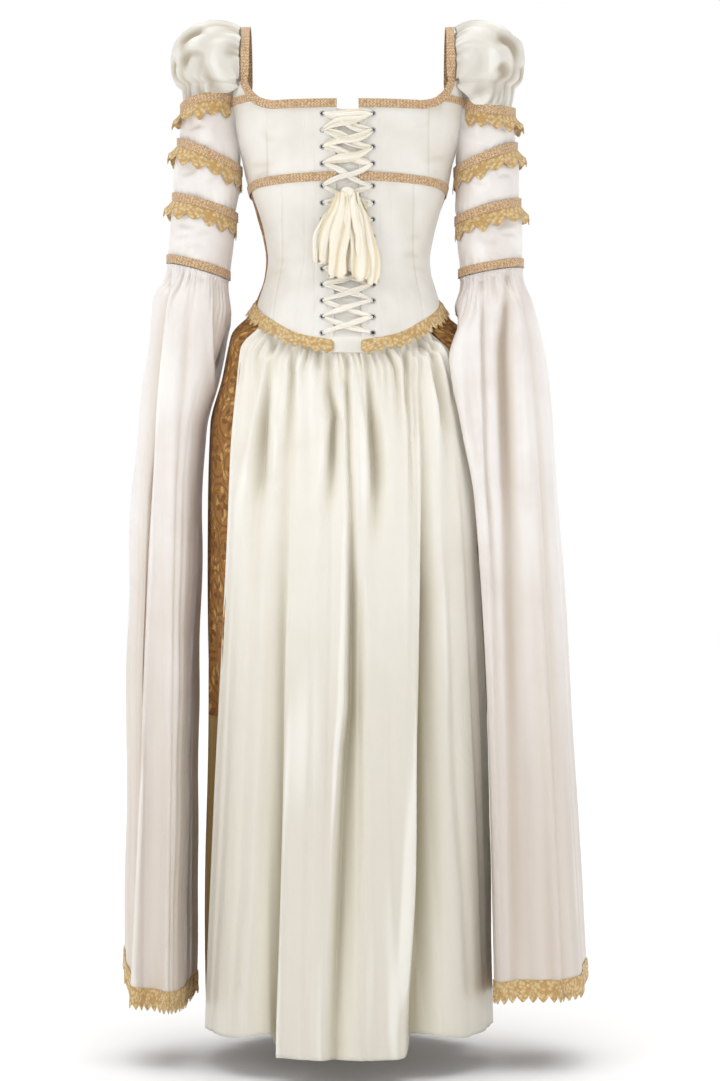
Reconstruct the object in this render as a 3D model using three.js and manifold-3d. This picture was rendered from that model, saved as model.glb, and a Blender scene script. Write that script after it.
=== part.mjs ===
// Corset dress with a laced back, puffed and belled sleeves and a gathered skirt.
// Millimetres, +Z up. The back of the dress faces -Y and its front +Y.
// The origin is on the centre plane, level with the tops of the shoulder straps.
import * as THREE from 'three';
import { mergeVertices } from 'three/addons/utils/BufferGeometryUtils.js';
import Module from 'manifold-3d';

const wasm = await Module();
wasm.setup();

// Driving dimensions
const CLOTH = 2;               // wall of the bodice, sleeves and skirt
const TRIM = 1.2;              // wall of braid and lace
const SEAM = 0.3;              // space between two pieces at a seam
const LIFT = 0.55;             // space between a trim and the cloth that carries it
const NECK_Z = -119;           // neckline, back and front
const STRAP_BASE_Z = -88;      // foot of each strap
const STRAP_TOP_Z = -1;        // top of each strap
const STRAP_X = 145;           // middle of each strap
const BRAID_WIDTH = 12;
const STRAP_RUN = { back: 57, front: 62 };   // foot of a strap in front of and behind its top
const UNDERARM_Z = -193;
const HEM_Z = { side: -1416, back: -1431 };
const BROCADE_SHARE = 0.57;    // share of the skirt's drop that the brocade covers in front
const GAP = { top: 15, bottom: 19 };         // half of the laced opening
const EYELET = { x: 35, outer: 4, inner: 1.9, height: 1, lift: 0.6 };
const EYELET_RUNS = [{ top: -139, pitch: 23.2, count: 4 }, { top: -239, pitch: 22.9, count: 10 }];
const RIBBON = { width: 6, thick: 1 };

const COLOURS = {
  ivory: 0xf1eee6, braid: 0xddb27f, lace: 0xcda764, brocade: 0xab7d44,
  gold: 0xb79a5c, ribbon: 0xf6eedc, nickel: 0xb9b9bc,
};
const FINISH = {
  satin: { roughness: 0.35, metalness: 0 },
  trim: { roughness: 0.8, metalness: 0 },
  metal: { roughness: 0.25, metalness: 1 },
};

// A table of sizes: the first column is where each row holds, and each other column becomes
// a smooth function of it that never overshoots its rows.
function table(columns, rows) {
  const sorted = [...rows].sort((a, b) => a[0] - b[0]);
  const at = sorted.map((row) => row[0]);
  const result = {};
  columns.slice(1).forEach((column, k) => {
    result[column] = smooth(at, sorted.map((row) => row[k + 1]));
  });
  return result;
}

function smooth(at, values) {
  const step = at.slice(1).map((x, i) => x - at[i]);
  const slope = step.map((h, i) => (values[i + 1] - values[i]) / h);
  const tangent = values.map((_, i) => {
    const before = slope[i - 1];
    const after = slope[i];
    if (before === undefined) return after;
    if (after === undefined) return before;
    if (before * after <= 0) return 0;
    return (2 * before * after) / (before + after);
  });
  return (x) => {
    const clamped = Math.min(Math.max(x, at[0]), at[at.length - 1]);
    let i = 0;
    while (i < step.length - 1 && clamped > at[i + 1]) i += 1;
    const h = step[i];
    const t = (clamped - at[i]) / h;
    const ease = t * t * (3 - 2 * t);
    return values[i] * (1 - ease) + values[i + 1] * ease
      + h * t * (1 - t) * (tangent[i] * (1 - t) - tangent[i + 1] * t);
  };
}

const mix = (a, b, t) => a + (b - a) * t;
const rad = (degrees) => (degrees * Math.PI) / 180;
const ease = (t) => {
  const c = Math.min(Math.max(t, 0), 1);
  return c * c * (3 - 2 * c);
};
const span = (from, to, count) => Array.from({ length: count + 1 }, (_, i) => mix(from, to, i / count));

// Plan of the bodice at each height: its half width and how far it reaches back and forward.
const BODICE = table(['z', 'side', 'back', 'front'], [
  [-80, 176, 88, 96],
  [-120, 168, 95, 110],
  [-160, 159, 98, 120],
  [-196, 149.5, 98, 122],
  [-235, 141, 94, 112],
  [-270, 130, 88, 100],
  [-300, 121.5, 84, 92],
  [-332, 116.5, 82, 88],
  [-358, 119.5, 84, 88],
  [-392, 130.5, 93, 95],
  [-430, 143, 104, 105],
  [-475, 153, 113, 113],
]);

// Plan of the skirt, whose outline grows squarer to rounder from the waist to the hem.
const SKIRT = table(['z', 'side', 'back', 'front', 'power'], [
  [-392, 141, 96, 98, 2.3],
  [-416, 160, 104, 106, 2.3],
  [-457, 171, 114, 116, 2.3],
  [-502, 180, 126, 126, 2.25],
  [-568, 197, 140, 138, 2.2],
  [-700, 202, 160, 152, 2.1],
  [-1000, 204, 186, 178, 2.0],
  [-1440, 206, 212, 205, 2.0],
]);
const BODICE_POWER = 2.3;

// Where the ivory back of the skirt meets the gold front, left and right of the centre.
const SKIRT_SEAM = table(['z', 'left', 'right'], [
  [-392, 104, 108],
  [-415, 122, 124],
  [-433, 137, 131],
  [-456, 146, 140],
  [-486, 151, 150],
  [-540, 155, 160],
  [-610, 160, 171],
  [-700, 163, 179],
  [-870, 172, 187],
  [-1100, 184, 196],
  [-1440, 199, 206],
]);

// Top edge of the bodice in degrees from the centre back: neckline, strap foot and armhole.
const TOP_EDGE = [
  [0, NECK_Z], [12, NECK_Z], [24, NECK_Z], [36, NECK_Z], [44, -111.5], [49, -102],
  [51.5, STRAP_BASE_Z - 4], [56.5, STRAP_BASE_Z - 4], [62, -99], [74, -122], [79, -160],
  [90, UNDERARM_Z],
];
// Lower edge of the bodice, from the centre back to the centre front.
const LOWER_EDGE = table(['degrees', 'z'], [
  [0, -466], [8, -462], [22, -455], [45, -433], [75, -408], [88, -398], [110, -402], [140, -418],
  [180, -432],
]);
const UNDERBUST = table(['degrees', 'z'], [
  [0, -225], [60, -230], [90, -236], [140, -238], [180, -240],
]);

// Deep folds of the skirt's back: where each runs at the waist, half way and at the hem,
// its half width, and its depth at the waist and the hem.
const BACK_FOLDS = [
  { waist: -112, middle: -122, hem: -150, width: 13, shallow: 5, deep: 9 },
  { waist: -79, middle: -90, hem: -104, width: 13, shallow: 6, deep: 34 },
  { waist: -23, middle: -42, hem: -58, width: 11, shallow: 5, deep: 5 },
  { waist: 2, middle: 0, hem: -8, width: 16, shallow: 6, deep: 26 },
  { waist: 31, middle: 38, hem: 46, width: 11, shallow: 5, deep: 5 },
  { waist: 84, middle: 108, hem: 103, width: 18, shallow: 6, deep: 38 },
  { waist: 120, middle: 146, hem: 160, width: 12, shallow: 4, deep: 8 },
];
const FRONT_FOLDS = { count: 14, shallow: 4, deep: 17 };
const WAIST_GATHER = { depth: 1.7, share: 0.2 };

// Upper sleeve: outer and inner edge from the centre plane, and half its depth.
const SLEEVE = {
  left: table(['z', 'outer', 'inner', 'depth'], [
    [-85, 238, 156, 49], [-133, 237.5, 160, 48], [-160, 242, 157, 49], [-203, 247, 152.5, 50],
    [-247, 250, 156, 50], [-303, 255, 163, 49], [-365, 261, 171, 47],
  ]),
  right: table(['z', 'outer', 'inner', 'depth'], [
    [-85, 238, 156, 49], [-133, 237.5, 160, 48], [-160, 240, 157, 49], [-203, 244, 152.5, 50],
    [-247, 246, 152.5, 50], [-303, 248, 156, 49], [-365, 251, 160, 47],
  ]),
};
// Top edge of an upper sleeve in degrees from its outer side.
const SLEEVE_TOP = table(['degrees', 'z'], [
  [0, -90], [60, -90.4], [95, -94], [125, -106], [150, -140], [165, -172], [180, -194],
]);
// Middle of each arm trim at the outer and the inner side of the arm.
const ARM_BANDS = {
  left: [{ outer: -97, inner: -96 }, { outer: -165, inner: -206 }, { outer: -243, inner: -272 }],
  right: [{ outer: -99, inner: -96 }, { outer: -171, inner: -207 }, { outer: -251, inner: -277 }],
};
const ELBOW = { left: { outer: -331, inner: -355 }, right: { outer: -337, inner: -352 } };
const SCALLOP = { count: 11, tip: 24, valley: 14, flare: 9 };

// Puff: how far it stands out at each lean from upright (0) to outward (90), and half its depth.
const PUFF = table(['degrees', 'reach', 'depth'], [
  [0, 87, 58], [8, 95, 60], [20, 104, 64], [35, 111, 67], [52, 115, 67], [66, 110, 64],
  [78, 104, 60], [85, 98, 56], [90, 87, 51],
]);
const PUFF_LEANS = [0, 8, 20, 35, 52, 66, 78, 85, 90];
const PUFF_HINGE = { x: 152.3, radius: 11 };
const PUFF_GATHER = 2.2;

// Bell sleeves: outer and inner edge from the centre plane, and reach back and forward.
const BELL = {
  left: table(['z', 'outer', 'inner', 'back', 'front'], [
    [-340, 260, 169, 47, 47], [-397, 279, 166, 64, 56], [-455, 286, 171, 76, 60],
    [-518, 295, 184, 84, 62], [-579, 301, 199, 90, 64], [-673, 312, 202, 94, 68],
    [-961, 324, 204, 100, 76], [-1165, 326, 207, 104, 80], [-1390, 329, 209, 106, 84],
  ]),
  right: table(['z', 'outer', 'inner', 'back', 'front'], [
    [-340, 251, 159, 47, 47], [-397, 264, 151, 70, 52], [-455, 279, 151, 84, 54],
    [-518, 290, 156, 92, 56], [-579, 296, 170, 98, 58], [-673, 303, 188, 104, 62],
    [-961, 325, 200, 112, 70], [-1165, 337, 206, 118, 74], [-1390, 352, 210, 122, 78],
  ]),
};
const BELL_HEM = {
  left: table(['degrees', 'z'], [
    [0, -1330], [45, -1362], [90, -1372], [180, -1374], [270, -1318], [315, -1312], [360, -1330],
  ]),
  right: table(['degrees', 'z'], [
    [0, -1344], [60, -1352], [90, -1354], [180, -1358], [270, -1338], [315, -1338], [360, -1344],
  ]),
};
const BELL_ROWS = [0, 0.03, 0.12, 0.3, 0.62, 0.955, 1];
const BELL_COLUMNS = 40;
const BELL_GATHER = { depth: 1.7, share: 0.13 };
const BELL_FOLDS = {
  left: [
    { waves: 3, size: 6, turn: 0.6 }, { waves: 5, size: 6, turn: 2.1 }, { waves: 8, size: 3.5, turn: 4 },
  ],
  right: [
    { waves: 3, size: 6, turn: 2.4 }, { waves: 5, size: 6.5, turn: 0.4 }, { waves: 8, size: 3.5, turn: 1 },
  ],
};
const BELL_LACE = { above: 0.955, valley: 5, tip: 17 };
const SKIRT_CLEARANCE = 11;

// Signed power, which rounds or squares the plan of a section.
const bend = (value, power) => Math.sign(value) * Math.abs(value) ** (2 / power);

// Point of a plan outline, in degrees from the centre back towards +X.
function outline(size, power, degrees, z) {
  const s = bend(Math.sin(rad(degrees)), power);
  const c = bend(Math.cos(rad(degrees)), power);
  return new THREE.Vector3(size.side * s, (c > 0 ? -size.back : -size.front) * c, z);
}

const sizes = (source, z) => ({ side: source.side(z), back: source.back(z), front: source.front(z) });
const bodicePoint = (degrees, z) => outline(sizes(BODICE, z), BODICE_POWER, degrees, z);

// Degrees from the centre back at which an outline is `x` away from the centre plane.
const degreesAt = (x, side, power) => (Math.asin(Math.min(x / side, 1) ** (power / 2)) * 180) / Math.PI;
// The same angle measured from the centre back on either side, 0 to 180.
const foldAngle = (degrees) => Math.abs(((degrees + 540) % 360) - 180);
const halfGap = (z) => mix(GAP.top, GAP.bottom, ease((NECK_Z - z) / (NECK_Z - LOWER_EDGE.z(0))));
const gapDegrees = (z) => degreesAt(halfGap(z), BODICE.side(z), BODICE_POWER);

function straight(rows, at) {
  const i = Math.max(rows.findIndex((row) => row[0] >= at), 1);
  const [before, after] = [rows[i - 1], rows[i]];
  return mix(before[1], after[1], (at - before[0]) / (after[0] - before[0]));
}
const topEdge = (degrees) => {
  const a = foldAngle(degrees);
  return straight(TOP_EDGE, a > 90 ? 180 - a : a);
};
const lowerEdge = (degrees) => LOWER_EDGE.z(foldAngle(degrees));
const underbust = (degrees) => UNDERBUST.z(foldAngle(degrees));

const group = new THREE.Group();

function add(name, geometry, colour, finish) {
  const material = new THREE.MeshStandardMaterial({ color: colour, ...finish });
  const mesh = new THREE.Mesh(geometry, material);
  mesh.name = name;
  group.add(mesh);
  return mesh;
}

// Outward normal of a surface at one place, from its neighbours.
function normalAt(surface, a, t, outward) {
  const e = 1e-3;
  const [a0, a1] = [a - e, a + e];
  const [t0, t1] = [Math.max(t - e, 0), Math.min(t + e, 1)];
  const across = surface(a1, t).sub(surface(a0, t));
  const along = surface(a, t1).sub(surface(a, t0));
  return across.cross(along).normalize().multiplyScalar(outward);
}

// A wall between two offsets from a surface. Columns run round or across, rows run down, and
// each is a list of parameters. `out` gives an extra offset that waves both faces alike.
function wall(surface, columns, rows, { low, high, closed = false, outward = 1, out = () => 0 }) {
  const faces = [low, high].map((offset) => rows.map((t) => columns.map((a, i) => {
    const normal = normalAt(surface, a, t, outward);
    return surface(a, t).addScaledVector(normal, offset + out(i, t));
  })));
  return closeWall(faces, closed);
}

// Closed body from two matching grids of points.
function closeWall([inner, outer], closed) {
  const rowCount = outer.length;
  const columnCount = outer[0].length;
  const points = [...inner.flat(), ...outer.flat()];
  const shift = rowCount * columnCount;
  const at = (r, c) => r * columnCount + (c % columnCount);
  const index = [];
  const quad = (a, b, c, d) => index.push(a, b, c, a, c, d);
  const spans = closed ? columnCount : columnCount - 1;
  for (let r = 0; r < rowCount - 1; r += 1) {
    for (let c = 0; c < spans; c += 1) {
      const corners = [at(r, c), at(r, c + 1), at(r + 1, c + 1), at(r + 1, c)];
      quad(...corners.map((k) => k + shift));
      quad(...[...corners].reverse());
    }
  }
  for (let c = 0; c < spans; c += 1) {
    quad(at(0, c), at(0, c + 1), at(0, c + 1) + shift, at(0, c) + shift);
    const last = rowCount - 1;
    quad(at(last, c + 1), at(last, c), at(last, c) + shift, at(last, c + 1) + shift);
  }
  if (!closed) {
    for (let r = 0; r < rowCount - 1; r += 1) {
      quad(at(r + 1, 0), at(r, 0), at(r, 0) + shift, at(r + 1, 0) + shift);
      const last = columnCount - 1;
      quad(at(r, last), at(r + 1, last), at(r + 1, last) + shift, at(r, last) + shift);
    }
  }
  return facingOut(points, index);
}

function facingOut(points, index) {
  let volume = 0;
  for (let i = 0; i < index.length; i += 3) {
    const [a, b, c] = [points[index[i]], points[index[i + 1]], points[index[i + 2]]];
    volume += a.dot(new THREE.Vector3().crossVectors(b, c));
  }
  if (volume < 0) index.reverse();
  const geometry = new THREE.BufferGeometry();
  const numbers = points.flatMap((point) => point.toArray());
  geometry.setAttribute('position', new THREE.Float32BufferAttribute(numbers, 3));
  geometry.setIndex(index);
  geometry.computeVertexNormals();
  return geometry;
}

// A flat band that follows a path: each stop has a place and the direction it faces.
function ribbon(stops, width, low, high) {
  const inner = [[], []];
  const outer = [[], []];
  stops.forEach(({ place, facing }, i) => {
    const before = stops[Math.max(i - 1, 0)].place;
    const after = stops[Math.min(i + 1, stops.length - 1)].place;
    const along = after.clone().sub(before).normalize();
    const across = new THREE.Vector3().crossVectors(facing, along).normalize();
    const face = new THREE.Vector3().crossVectors(along, across).normalize();
    [-0.5, 0.5].forEach((share, k) => {
      const edge = place.clone().addScaledVector(across, share * width);
      inner[k].push(edge.clone().addScaledVector(face, low));
      outer[k].push(edge.clone().addScaledVector(face, high));
    });
  });
  return closeWall([inner, outer], false);
}

function solid(geometry) {
  const bare = geometry.clone();
  bare.deleteAttribute('normal');
  bare.deleteAttribute('uv');
  const merged = mergeVertices(bare, 1e-4);
  return new wasm.Manifold(new wasm.Mesh({
    numProp: 3,
    vertProperties: new Float32Array(merged.attributes.position.array),
    triVerts: new Uint32Array(merged.index.array),
  }));
}

function joined(geometries) {
  const whole = geometries.map(solid).reduce((a, b) => a.add(b));
  const mesh = whole.getMesh();
  const geometry = new THREE.BufferGeometry();
  geometry.setAttribute('position', new THREE.BufferAttribute(mesh.vertProperties, 3));
  geometry.setIndex(new THREE.BufferAttribute(mesh.triVerts, 1));
  geometry.computeVertexNormals();
  return geometry;
}

// Bodice panels. Angles run from the centre back towards +X and on round the front.
const PANEL = { low: -CLOTH, high: 0, outward: -1 };
const UPPER_STOPS = [0, 12, 24, 36, 44, 49, 51.5, 56.5, 62, 74, 79, 90];
const UPPER_ROWS = [0, 0.25, 0.5, 0.75, 1];
const SEAM_DEGREES = 0.15;
const LOWER_SIDE = { left: 76, right: 87 };

function bodicePanels() {
  const upper = (a, t) => bodicePoint(a, mix(topEdge(a), underbust(a) + SEAM, t));
  const lower = (a, t) => bodicePoint(a, mix(underbust(a) - SEAM, lowerEdge(a), t));
  for (const [name, side] of [['left', -1], ['right', 1]]) {
    const backStops = UPPER_STOPS.filter((stop) => stop > 0);
    const edge = (t) => gapDegrees(mix(NECK_Z, underbust(0), t));
    const backUpper = (a, t) => upper(side * mix(edge(t), 90 - SEAM_DEGREES, a), t);
    const columns = [0, ...backStops].map((stop) => Math.max((stop - edge(0)) / (90 - edge(0)), 0));
    const facing = { ...PANEL, outward: -side };
    add(`bodice_back_upper_${name}`,
      wall(backUpper, columns, UPPER_ROWS, facing), COLOURS.ivory, FINISH.satin);
    const lowEdge = (t) => gapDegrees(mix(underbust(0), LOWER_EDGE.z(0), t));
    const end = LOWER_SIDE[name] - SEAM_DEGREES;
    const backLower = (a, t) => lower(side * mix(lowEdge(t), end, a), t);
    add(`bodice_back_lower_${name}`,
      wall(backLower, span(0, 1, 9), span(0, 1, 9), facing), COLOURS.ivory, FINISH.satin);
  }
  const frontStops = UPPER_STOPS.slice(0, -1).map((stop) => 180 - stop).reverse();
  const otherStops = frontStops.slice(0, -1).map((d) => 360 - d).reverse();
  const frontDegrees = [90 + SEAM_DEGREES, ...frontStops, ...otherStops, 270 - SEAM_DEGREES];
  add('bodice_front_upper',
    wall(upper, frontDegrees, UPPER_ROWS, PANEL), COLOURS.ivory, FINISH.satin);
  const lowerDegrees = span(LOWER_SIDE.right + SEAM_DEGREES, 360 - LOWER_SIDE.left - SEAM_DEGREES, 18);
  add('bodice_front_lower',
    wall(lower, lowerDegrees, span(0, 1, 7), PANEL), COLOURS.brocade, FINISH.satin);
}

// Panel behind the laced opening, inside the bodice's back.
function modestyPanel() {
  const PANEL_DEGREES = 11;
  const TOP_Z = -131;
  const surface = (a, t) => bodicePoint(a, mix(TOP_Z, lowerEdge(a) + 2, t));
  const high = -CLOTH - 0.9;
  const columns = span(-PANEL_DEGREES, PANEL_DEGREES, 4);
  add('modesty_panel', wall(surface, columns, span(0, 1, 10), { low: high - 1.5, high, outward: -1 }),
    COLOURS.ivory, FINISH.satin);
}

// Braid round the neckline, which is also the face of each strap, in one piece from one edge
// of the laced opening over both shoulders to the other edge.
function neckBraid() {
  const middleZ = NECK_Z - BRAID_WIDTH / 2 + 1;
  const onBodice = (degrees, z) => {
    const surface = (a, t) => bodicePoint(a, z - t);
    return { place: bodicePoint(degrees, z), facing: normalAt(surface, degrees, 0.5, -1) };
  };
  const atX = (x, z, front) => {
    const degrees = degreesAt(x, BODICE.side(z), BODICE_POWER);
    return onBodice(front ? 180 - degrees : degrees, z);
  };
  const LEVEL_END = 34;
  const CORNER = [[113, -122], [125, -117], [135, -108], [141, -98], [STRAP_X, STRAP_BASE_Z]];
  const back = [...span(gapDegrees(middleZ), LEVEL_END, 5).map((d) => onBodice(d, middleZ)),
    ...CORNER.map(([x, z]) => atX(x, z, false))];
  const front = [...CORNER.map(([x, z]) => atX(x, z, true)).reverse(),
    ...span(180 - LEVEL_END, 180, 5).map((d) => onBodice(d, middleZ))];
  const [foot, toe] = [back[back.length - 1].place, front[0].place];
  const rise = STRAP_TOP_Z - STRAP_BASE_Z;
  const over = span(0, 1, 12).slice(1, -1).map((share) => {
    const turn = share * Math.PI;
    const y = mix(foot.y, toe.y, (1 - Math.cos(turn)) / 2);
    const z = STRAP_BASE_Z + rise * Math.sin(turn) ** 0.85;
    const facing = new THREE.Vector3(0, -Math.cos(turn) / STRAP_RUN.back, Math.sin(turn) / rise);
    return { place: new THREE.Vector3(STRAP_X, y, z), facing: facing.normalize() };
  });
  const half = [...back, ...over, ...front];
  const flip = new THREE.Vector3(-1, 1, 1);
  const mirrored = half.slice(0, -1).reverse().map(({ place, facing }) => (
    { place: place.clone().multiply(flip), facing: facing.clone().multiply(flip) }));
  const whole = ribbon([...half, ...mirrored], BRAID_WIDTH, LIFT, LIFT + CLOTH);
  add('neck_braid', whole, COLOURS.braid, FINISH.trim);
}

// Braid over the seam under the bust, all round to the laced opening.
function underbustBraid() {
  const edge = gapDegrees(underbust(0));
  const surface = (a, t) => bodicePoint(a, underbust(a) + BRAID_WIDTH * (0.5 - t));
  const columns = span(edge, 360 - edge, 46);
  add('underbust_braid', wall(surface, columns, [0, 1], { low: LIFT, high: LIFT + TRIM, outward: -1 }),
    COLOURS.braid, FINISH.trim);
}

// Skirt. The outline leaves the bodice's lower edge and swings out to its own sizes.
const SKIRT_TOP_GAP = 0.9;
const SKIRT_BLEND = 42;
const skirtTop = (degrees) => lowerEdge(degrees) - SKIRT_TOP_GAP;
const skirtHem = (degrees) => mix(HEM_Z.side, HEM_Z.back, Math.max(Math.cos(rad(degrees)), 0) ** 2);

function skirtBase(degrees, z) {
  const own = outline(sizes(SKIRT, z), SKIRT.power(z), degrees, z);
  return bodicePoint(degrees, z).lerp(own, ease((skirtTop(degrees) - z) / SKIRT_BLEND));
}

// How far the folds draw the cloth in at one place.
function skirtFolds(degrees, base, z) {
  const drop = (skirtTop(degrees) - z) / (skirtTop(degrees) - skirtHem(degrees));
  const growth = ease(drop / 0.06) * (0.25 + 0.75 * drop);
  const a = foldAngle(degrees);
  if (a < 90) {
    return BACK_FOLDS.reduce((sum, fold) => {
      const middle = drop < 0.35
        ? mix(fold.waist, fold.middle, drop / 0.35)
        : mix(fold.middle, fold.hem, (drop - 0.35) / 0.65);
      const near = Math.exp(-(((base.x - middle) / fold.width) ** 2));
      return sum + near * mix(fold.shallow, fold.deep, drop) * ease(drop / 0.05);
    }, 0) * ease((90 - a) / 12);
  }
  const wave = Math.cos(rad((a - 90) * FRONT_FOLDS.count)) * 0.5 + 0.5;
  return wave ** 2 * mix(FRONT_FOLDS.shallow, FRONT_FOLDS.deep, drop) * growth * ease((a - 90) / 12);
}

function skirtPoint(degrees, z) {
  const base = skirtBase(degrees, z);
  const inward = new THREE.Vector3(-base.x / SKIRT.side(z) ** 2, -base.y / SKIRT.back(z) ** 2, 0).normalize();
  return base.addScaledVector(inward, skirtFolds(degrees, base, z));
}

const SKIRT_ROWS = [0, 0.04, 0.13, 0.3, BROCADE_SHARE, 0.78, 1];
const SKIRT_COLUMNS = { back: 60, front: 40 };

function seamDegrees(side, z) {
  const x = side < 0 ? SKIRT_SEAM.left(z) : SKIRT_SEAM.right(z);
  const reach = mix(BODICE.side(z), SKIRT.side(z), ease((-398 - z) / SKIRT_BLEND));
  return degreesAt(x, reach, SKIRT.power(z));
}

// Small gathers under the waist seam, one fold for every two columns.
const gather = (size) => (i, t) => (i % 2 ? -1 : 1) * size.depth * (1 - ease(t / size.share));

function skirtPanel(from, to) {
  return (a, t) => {
    const level = (degrees) => mix(skirtTop(degrees), skirtHem(degrees), t);
    let degrees = mix(from(-600), to(-600), a);
    for (let pass = 0; pass < 3; pass += 1) degrees = mix(from(level(degrees)), to(level(degrees)), a);
    return skirtPoint(degrees, level(degrees));
  };
}

function skirt() {
  const left = (z) => seamDegrees(-1, z);
  const right = (z) => seamDegrees(1, z);
  const back = skirtPanel((z) => SEAM_DEGREES - left(z), (z) => right(z) - SEAM_DEGREES);
  const front = skirtPanel((z) => right(z) + SEAM_DEGREES, (z) => 360 - left(z) - SEAM_DEGREES);
  const gathered = { low: -CLOTH, high: 0, outward: -1, out: gather(WAIST_GATHER) };
  add('skirt_back',
    wall(back, span(0, 1, SKIRT_COLUMNS.back), SKIRT_ROWS, gathered), COLOURS.ivory, FINISH.satin);
  const split = SKIRT_ROWS.indexOf(BROCADE_SHARE);
  const columns = span(0, 1, SKIRT_COLUMNS.front);
  add('skirt_front',
    wall(front, columns, SKIRT_ROWS.slice(0, split + 1), gathered), COLOURS.brocade, FINISH.satin);
  const below = [BROCADE_SHARE + 0.0004, ...SKIRT_ROWS.slice(split + 1)];
  add('skirt_front_lower',
    wall(front, columns, below, { ...gathered, out: () => 0 }), COLOURS.gold, FINISH.satin);
}

// Scalloped lace over the waist seam.
function waistLace() {
  const LACE = { above: 8, valley: 6, tip: 13, columns: 54, lifts: [LIFT, 2.8, 4.2] };
  const edge = gapDegrees(LOWER_EDGE.z(0));
  const surface = (a, t) => {
    const top = lowerEdge(a) + LACE.above;
    const z = top - t * (LACE.above + LACE.tip);
    return z > skirtTop(a) ? bodicePoint(a, z) : skirtBase(a, z);
  };
  const columns = span(edge, 360 - edge, LACE.columns);
  const rows = [0, LACE.above / (LACE.above + LACE.tip), 1];
  const faces = [0, TRIM].map((offset) => rows.map((t, r) => columns.map((a, i) => {
    const shorter = r === 2 && i % 2 === 0 ? (LACE.tip - LACE.valley) / (LACE.above + LACE.tip) : 0;
    const normal = normalAt(surface, a, t, -1);
    return surface(a, t - shorter).addScaledVector(normal, offset + LACE.lifts[r]);
  })));
  add('waist_lace', closeWall(faces, false), COLOURS.lace, FINISH.trim);
}

// Sleeves. Angles run from the outer side of the arm over its back.
const SIDES = [['left', -1], ['right', 1]];
const SLEEVE_COLUMNS = 2 * SCALLOP.count;

function sleevePoint(name, side, degrees, z) {
  const size = SLEEVE[name];
  const middle = (size.outer(z) + size.inner(z)) / 2;
  const half = (size.outer(z) - size.inner(z)) / 2;
  return new THREE.Vector3(
    side * (middle + half * Math.cos(rad(degrees))), -size.depth(z) * Math.sin(rad(degrees)), z);
}
const around = (levels, degrees) => mix(levels.outer, levels.inner, (1 - Math.cos(rad(degrees))) / 2);

function upperSleeve(name, side) {
  const bottom = (degrees) => around(ELBOW[name], degrees) - BRAID_WIDTH / 2;
  const surface = (a, t) => sleevePoint(name, side, a, mix(SLEEVE_TOP.z(foldAngle(a)), bottom(a), t));
  const columns = span(0, 360, SLEEVE_COLUMNS).slice(0, -1);
  add(`sleeve_upper_${name}`,
    wall(surface, columns, [0, 0.28, 0.6, 0.88, 1], { low: -CLOTH, high: 0, closed: true, outward: side }),
    COLOURS.ivory, FINISH.satin);
  const braid = (a, t) => sleevePoint(name, side, a, around(ELBOW[name], a) + BRAID_WIDTH * (0.5 - t));
  add(`elbow_braid_${name}`,
    wall(braid, columns, [0, 1], { low: LIFT, high: LIFT + TRIM, closed: true, outward: side }),
    COLOURS.braid, FINISH.trim);
}

// Braid with scalloped lace below it, round an arm.
function armBand(name, side, number) {
  const levels = ARM_BANDS[name][number - 1];
  const open = number === 1;
  const reach = (8 * 360) / SLEEVE_COLUMNS;
  const columns = open
    ? span(-reach, reach, 16)
    : span(0, 360, SLEEVE_COLUMNS).slice(0, -1);
  const half = BRAID_WIDTH / 2;
  const point = (degrees, z) => sleevePoint(name, side, degrees, z);
  const rows = [0, 1, 2];
  const lift = open ? 2 * LIFT : LIFT;
  const faces = [lift, lift + TRIM].map((offset) => rows.map((r) => columns.map((a, i) => {
    const middle = around(levels, a);
    const drop = i % 2 ? SCALLOP.tip : SCALLOP.valley;
    const z = r === 0 ? middle + half : middle - half - (r === 2 ? drop : 0);
    const normal = normalAt((b, t) => point(b, z - t), a, 0.5, side);
    const outerShare = 0.3 + 0.35 * (1 + Math.cos(rad(a)));
    const flare = r === 2 ? (SCALLOP.flare * outerShare * drop) / SCALLOP.tip : 0;
    return point(a, z).addScaledVector(normal, offset + flare);
  })));
  add(`arm_band_${number}_${name}`, closeWall(faces, !open), COLOURS.lace, FINISH.trim);
}

// Gathered cap of the sleeve, fanned from the strap down to the first arm trim.
function puff(name, side) {
  const surface = (a, t) => {
    const lean = t * 90;
    const swell = Math.max(Math.sin(a * Math.PI), 0) ** 0.75;
    const reach = mix(PUFF_HINGE.radius, PUFF.reach(lean), swell);
    const depth = PUFF.depth(lean);
    return new THREE.Vector3(
      side * (PUFF_HINGE.x + reach * Math.sin(rad(lean))),
      -depth * Math.cos(Math.min(Math.max(a, 0), 1) * Math.PI),
      STRAP_BASE_Z + reach * Math.cos(rad(lean)));
  };
  const out = (i, t) => {
    const rise = ease((t - 0.55) / 0.3) - ease((t - 0.93) / 0.07) * 0.8;
    return (i % 2 ? 1 : -1) * PUFF_GATHER * rise;
  };
  add(`puff_${name}`,
    wall(surface, span(0.002, 0.998, 16), PUFF_LEANS.map((lean) => lean / 90),
      { low: -CLOTH, high: 0, outward: side, out }),
    COLOURS.ivory, FINISH.satin);
}

// Half width of the skirt where its plan reaches `y`.
function skirtReach(y, z) {
  const depth = y < 0 ? SKIRT.back(z) : SKIRT.front(z);
  const inside = 1 - Math.abs(y / depth) ** SKIRT.power(z);
  return inside > 0 ? SKIRT.side(z) * inside ** (1 / SKIRT.power(z)) : 0;
}

const bellTop = (name, degrees) => around(ELBOW[name], degrees) - BRAID_WIDTH / 2 - SKIRT_TOP_GAP;

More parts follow.
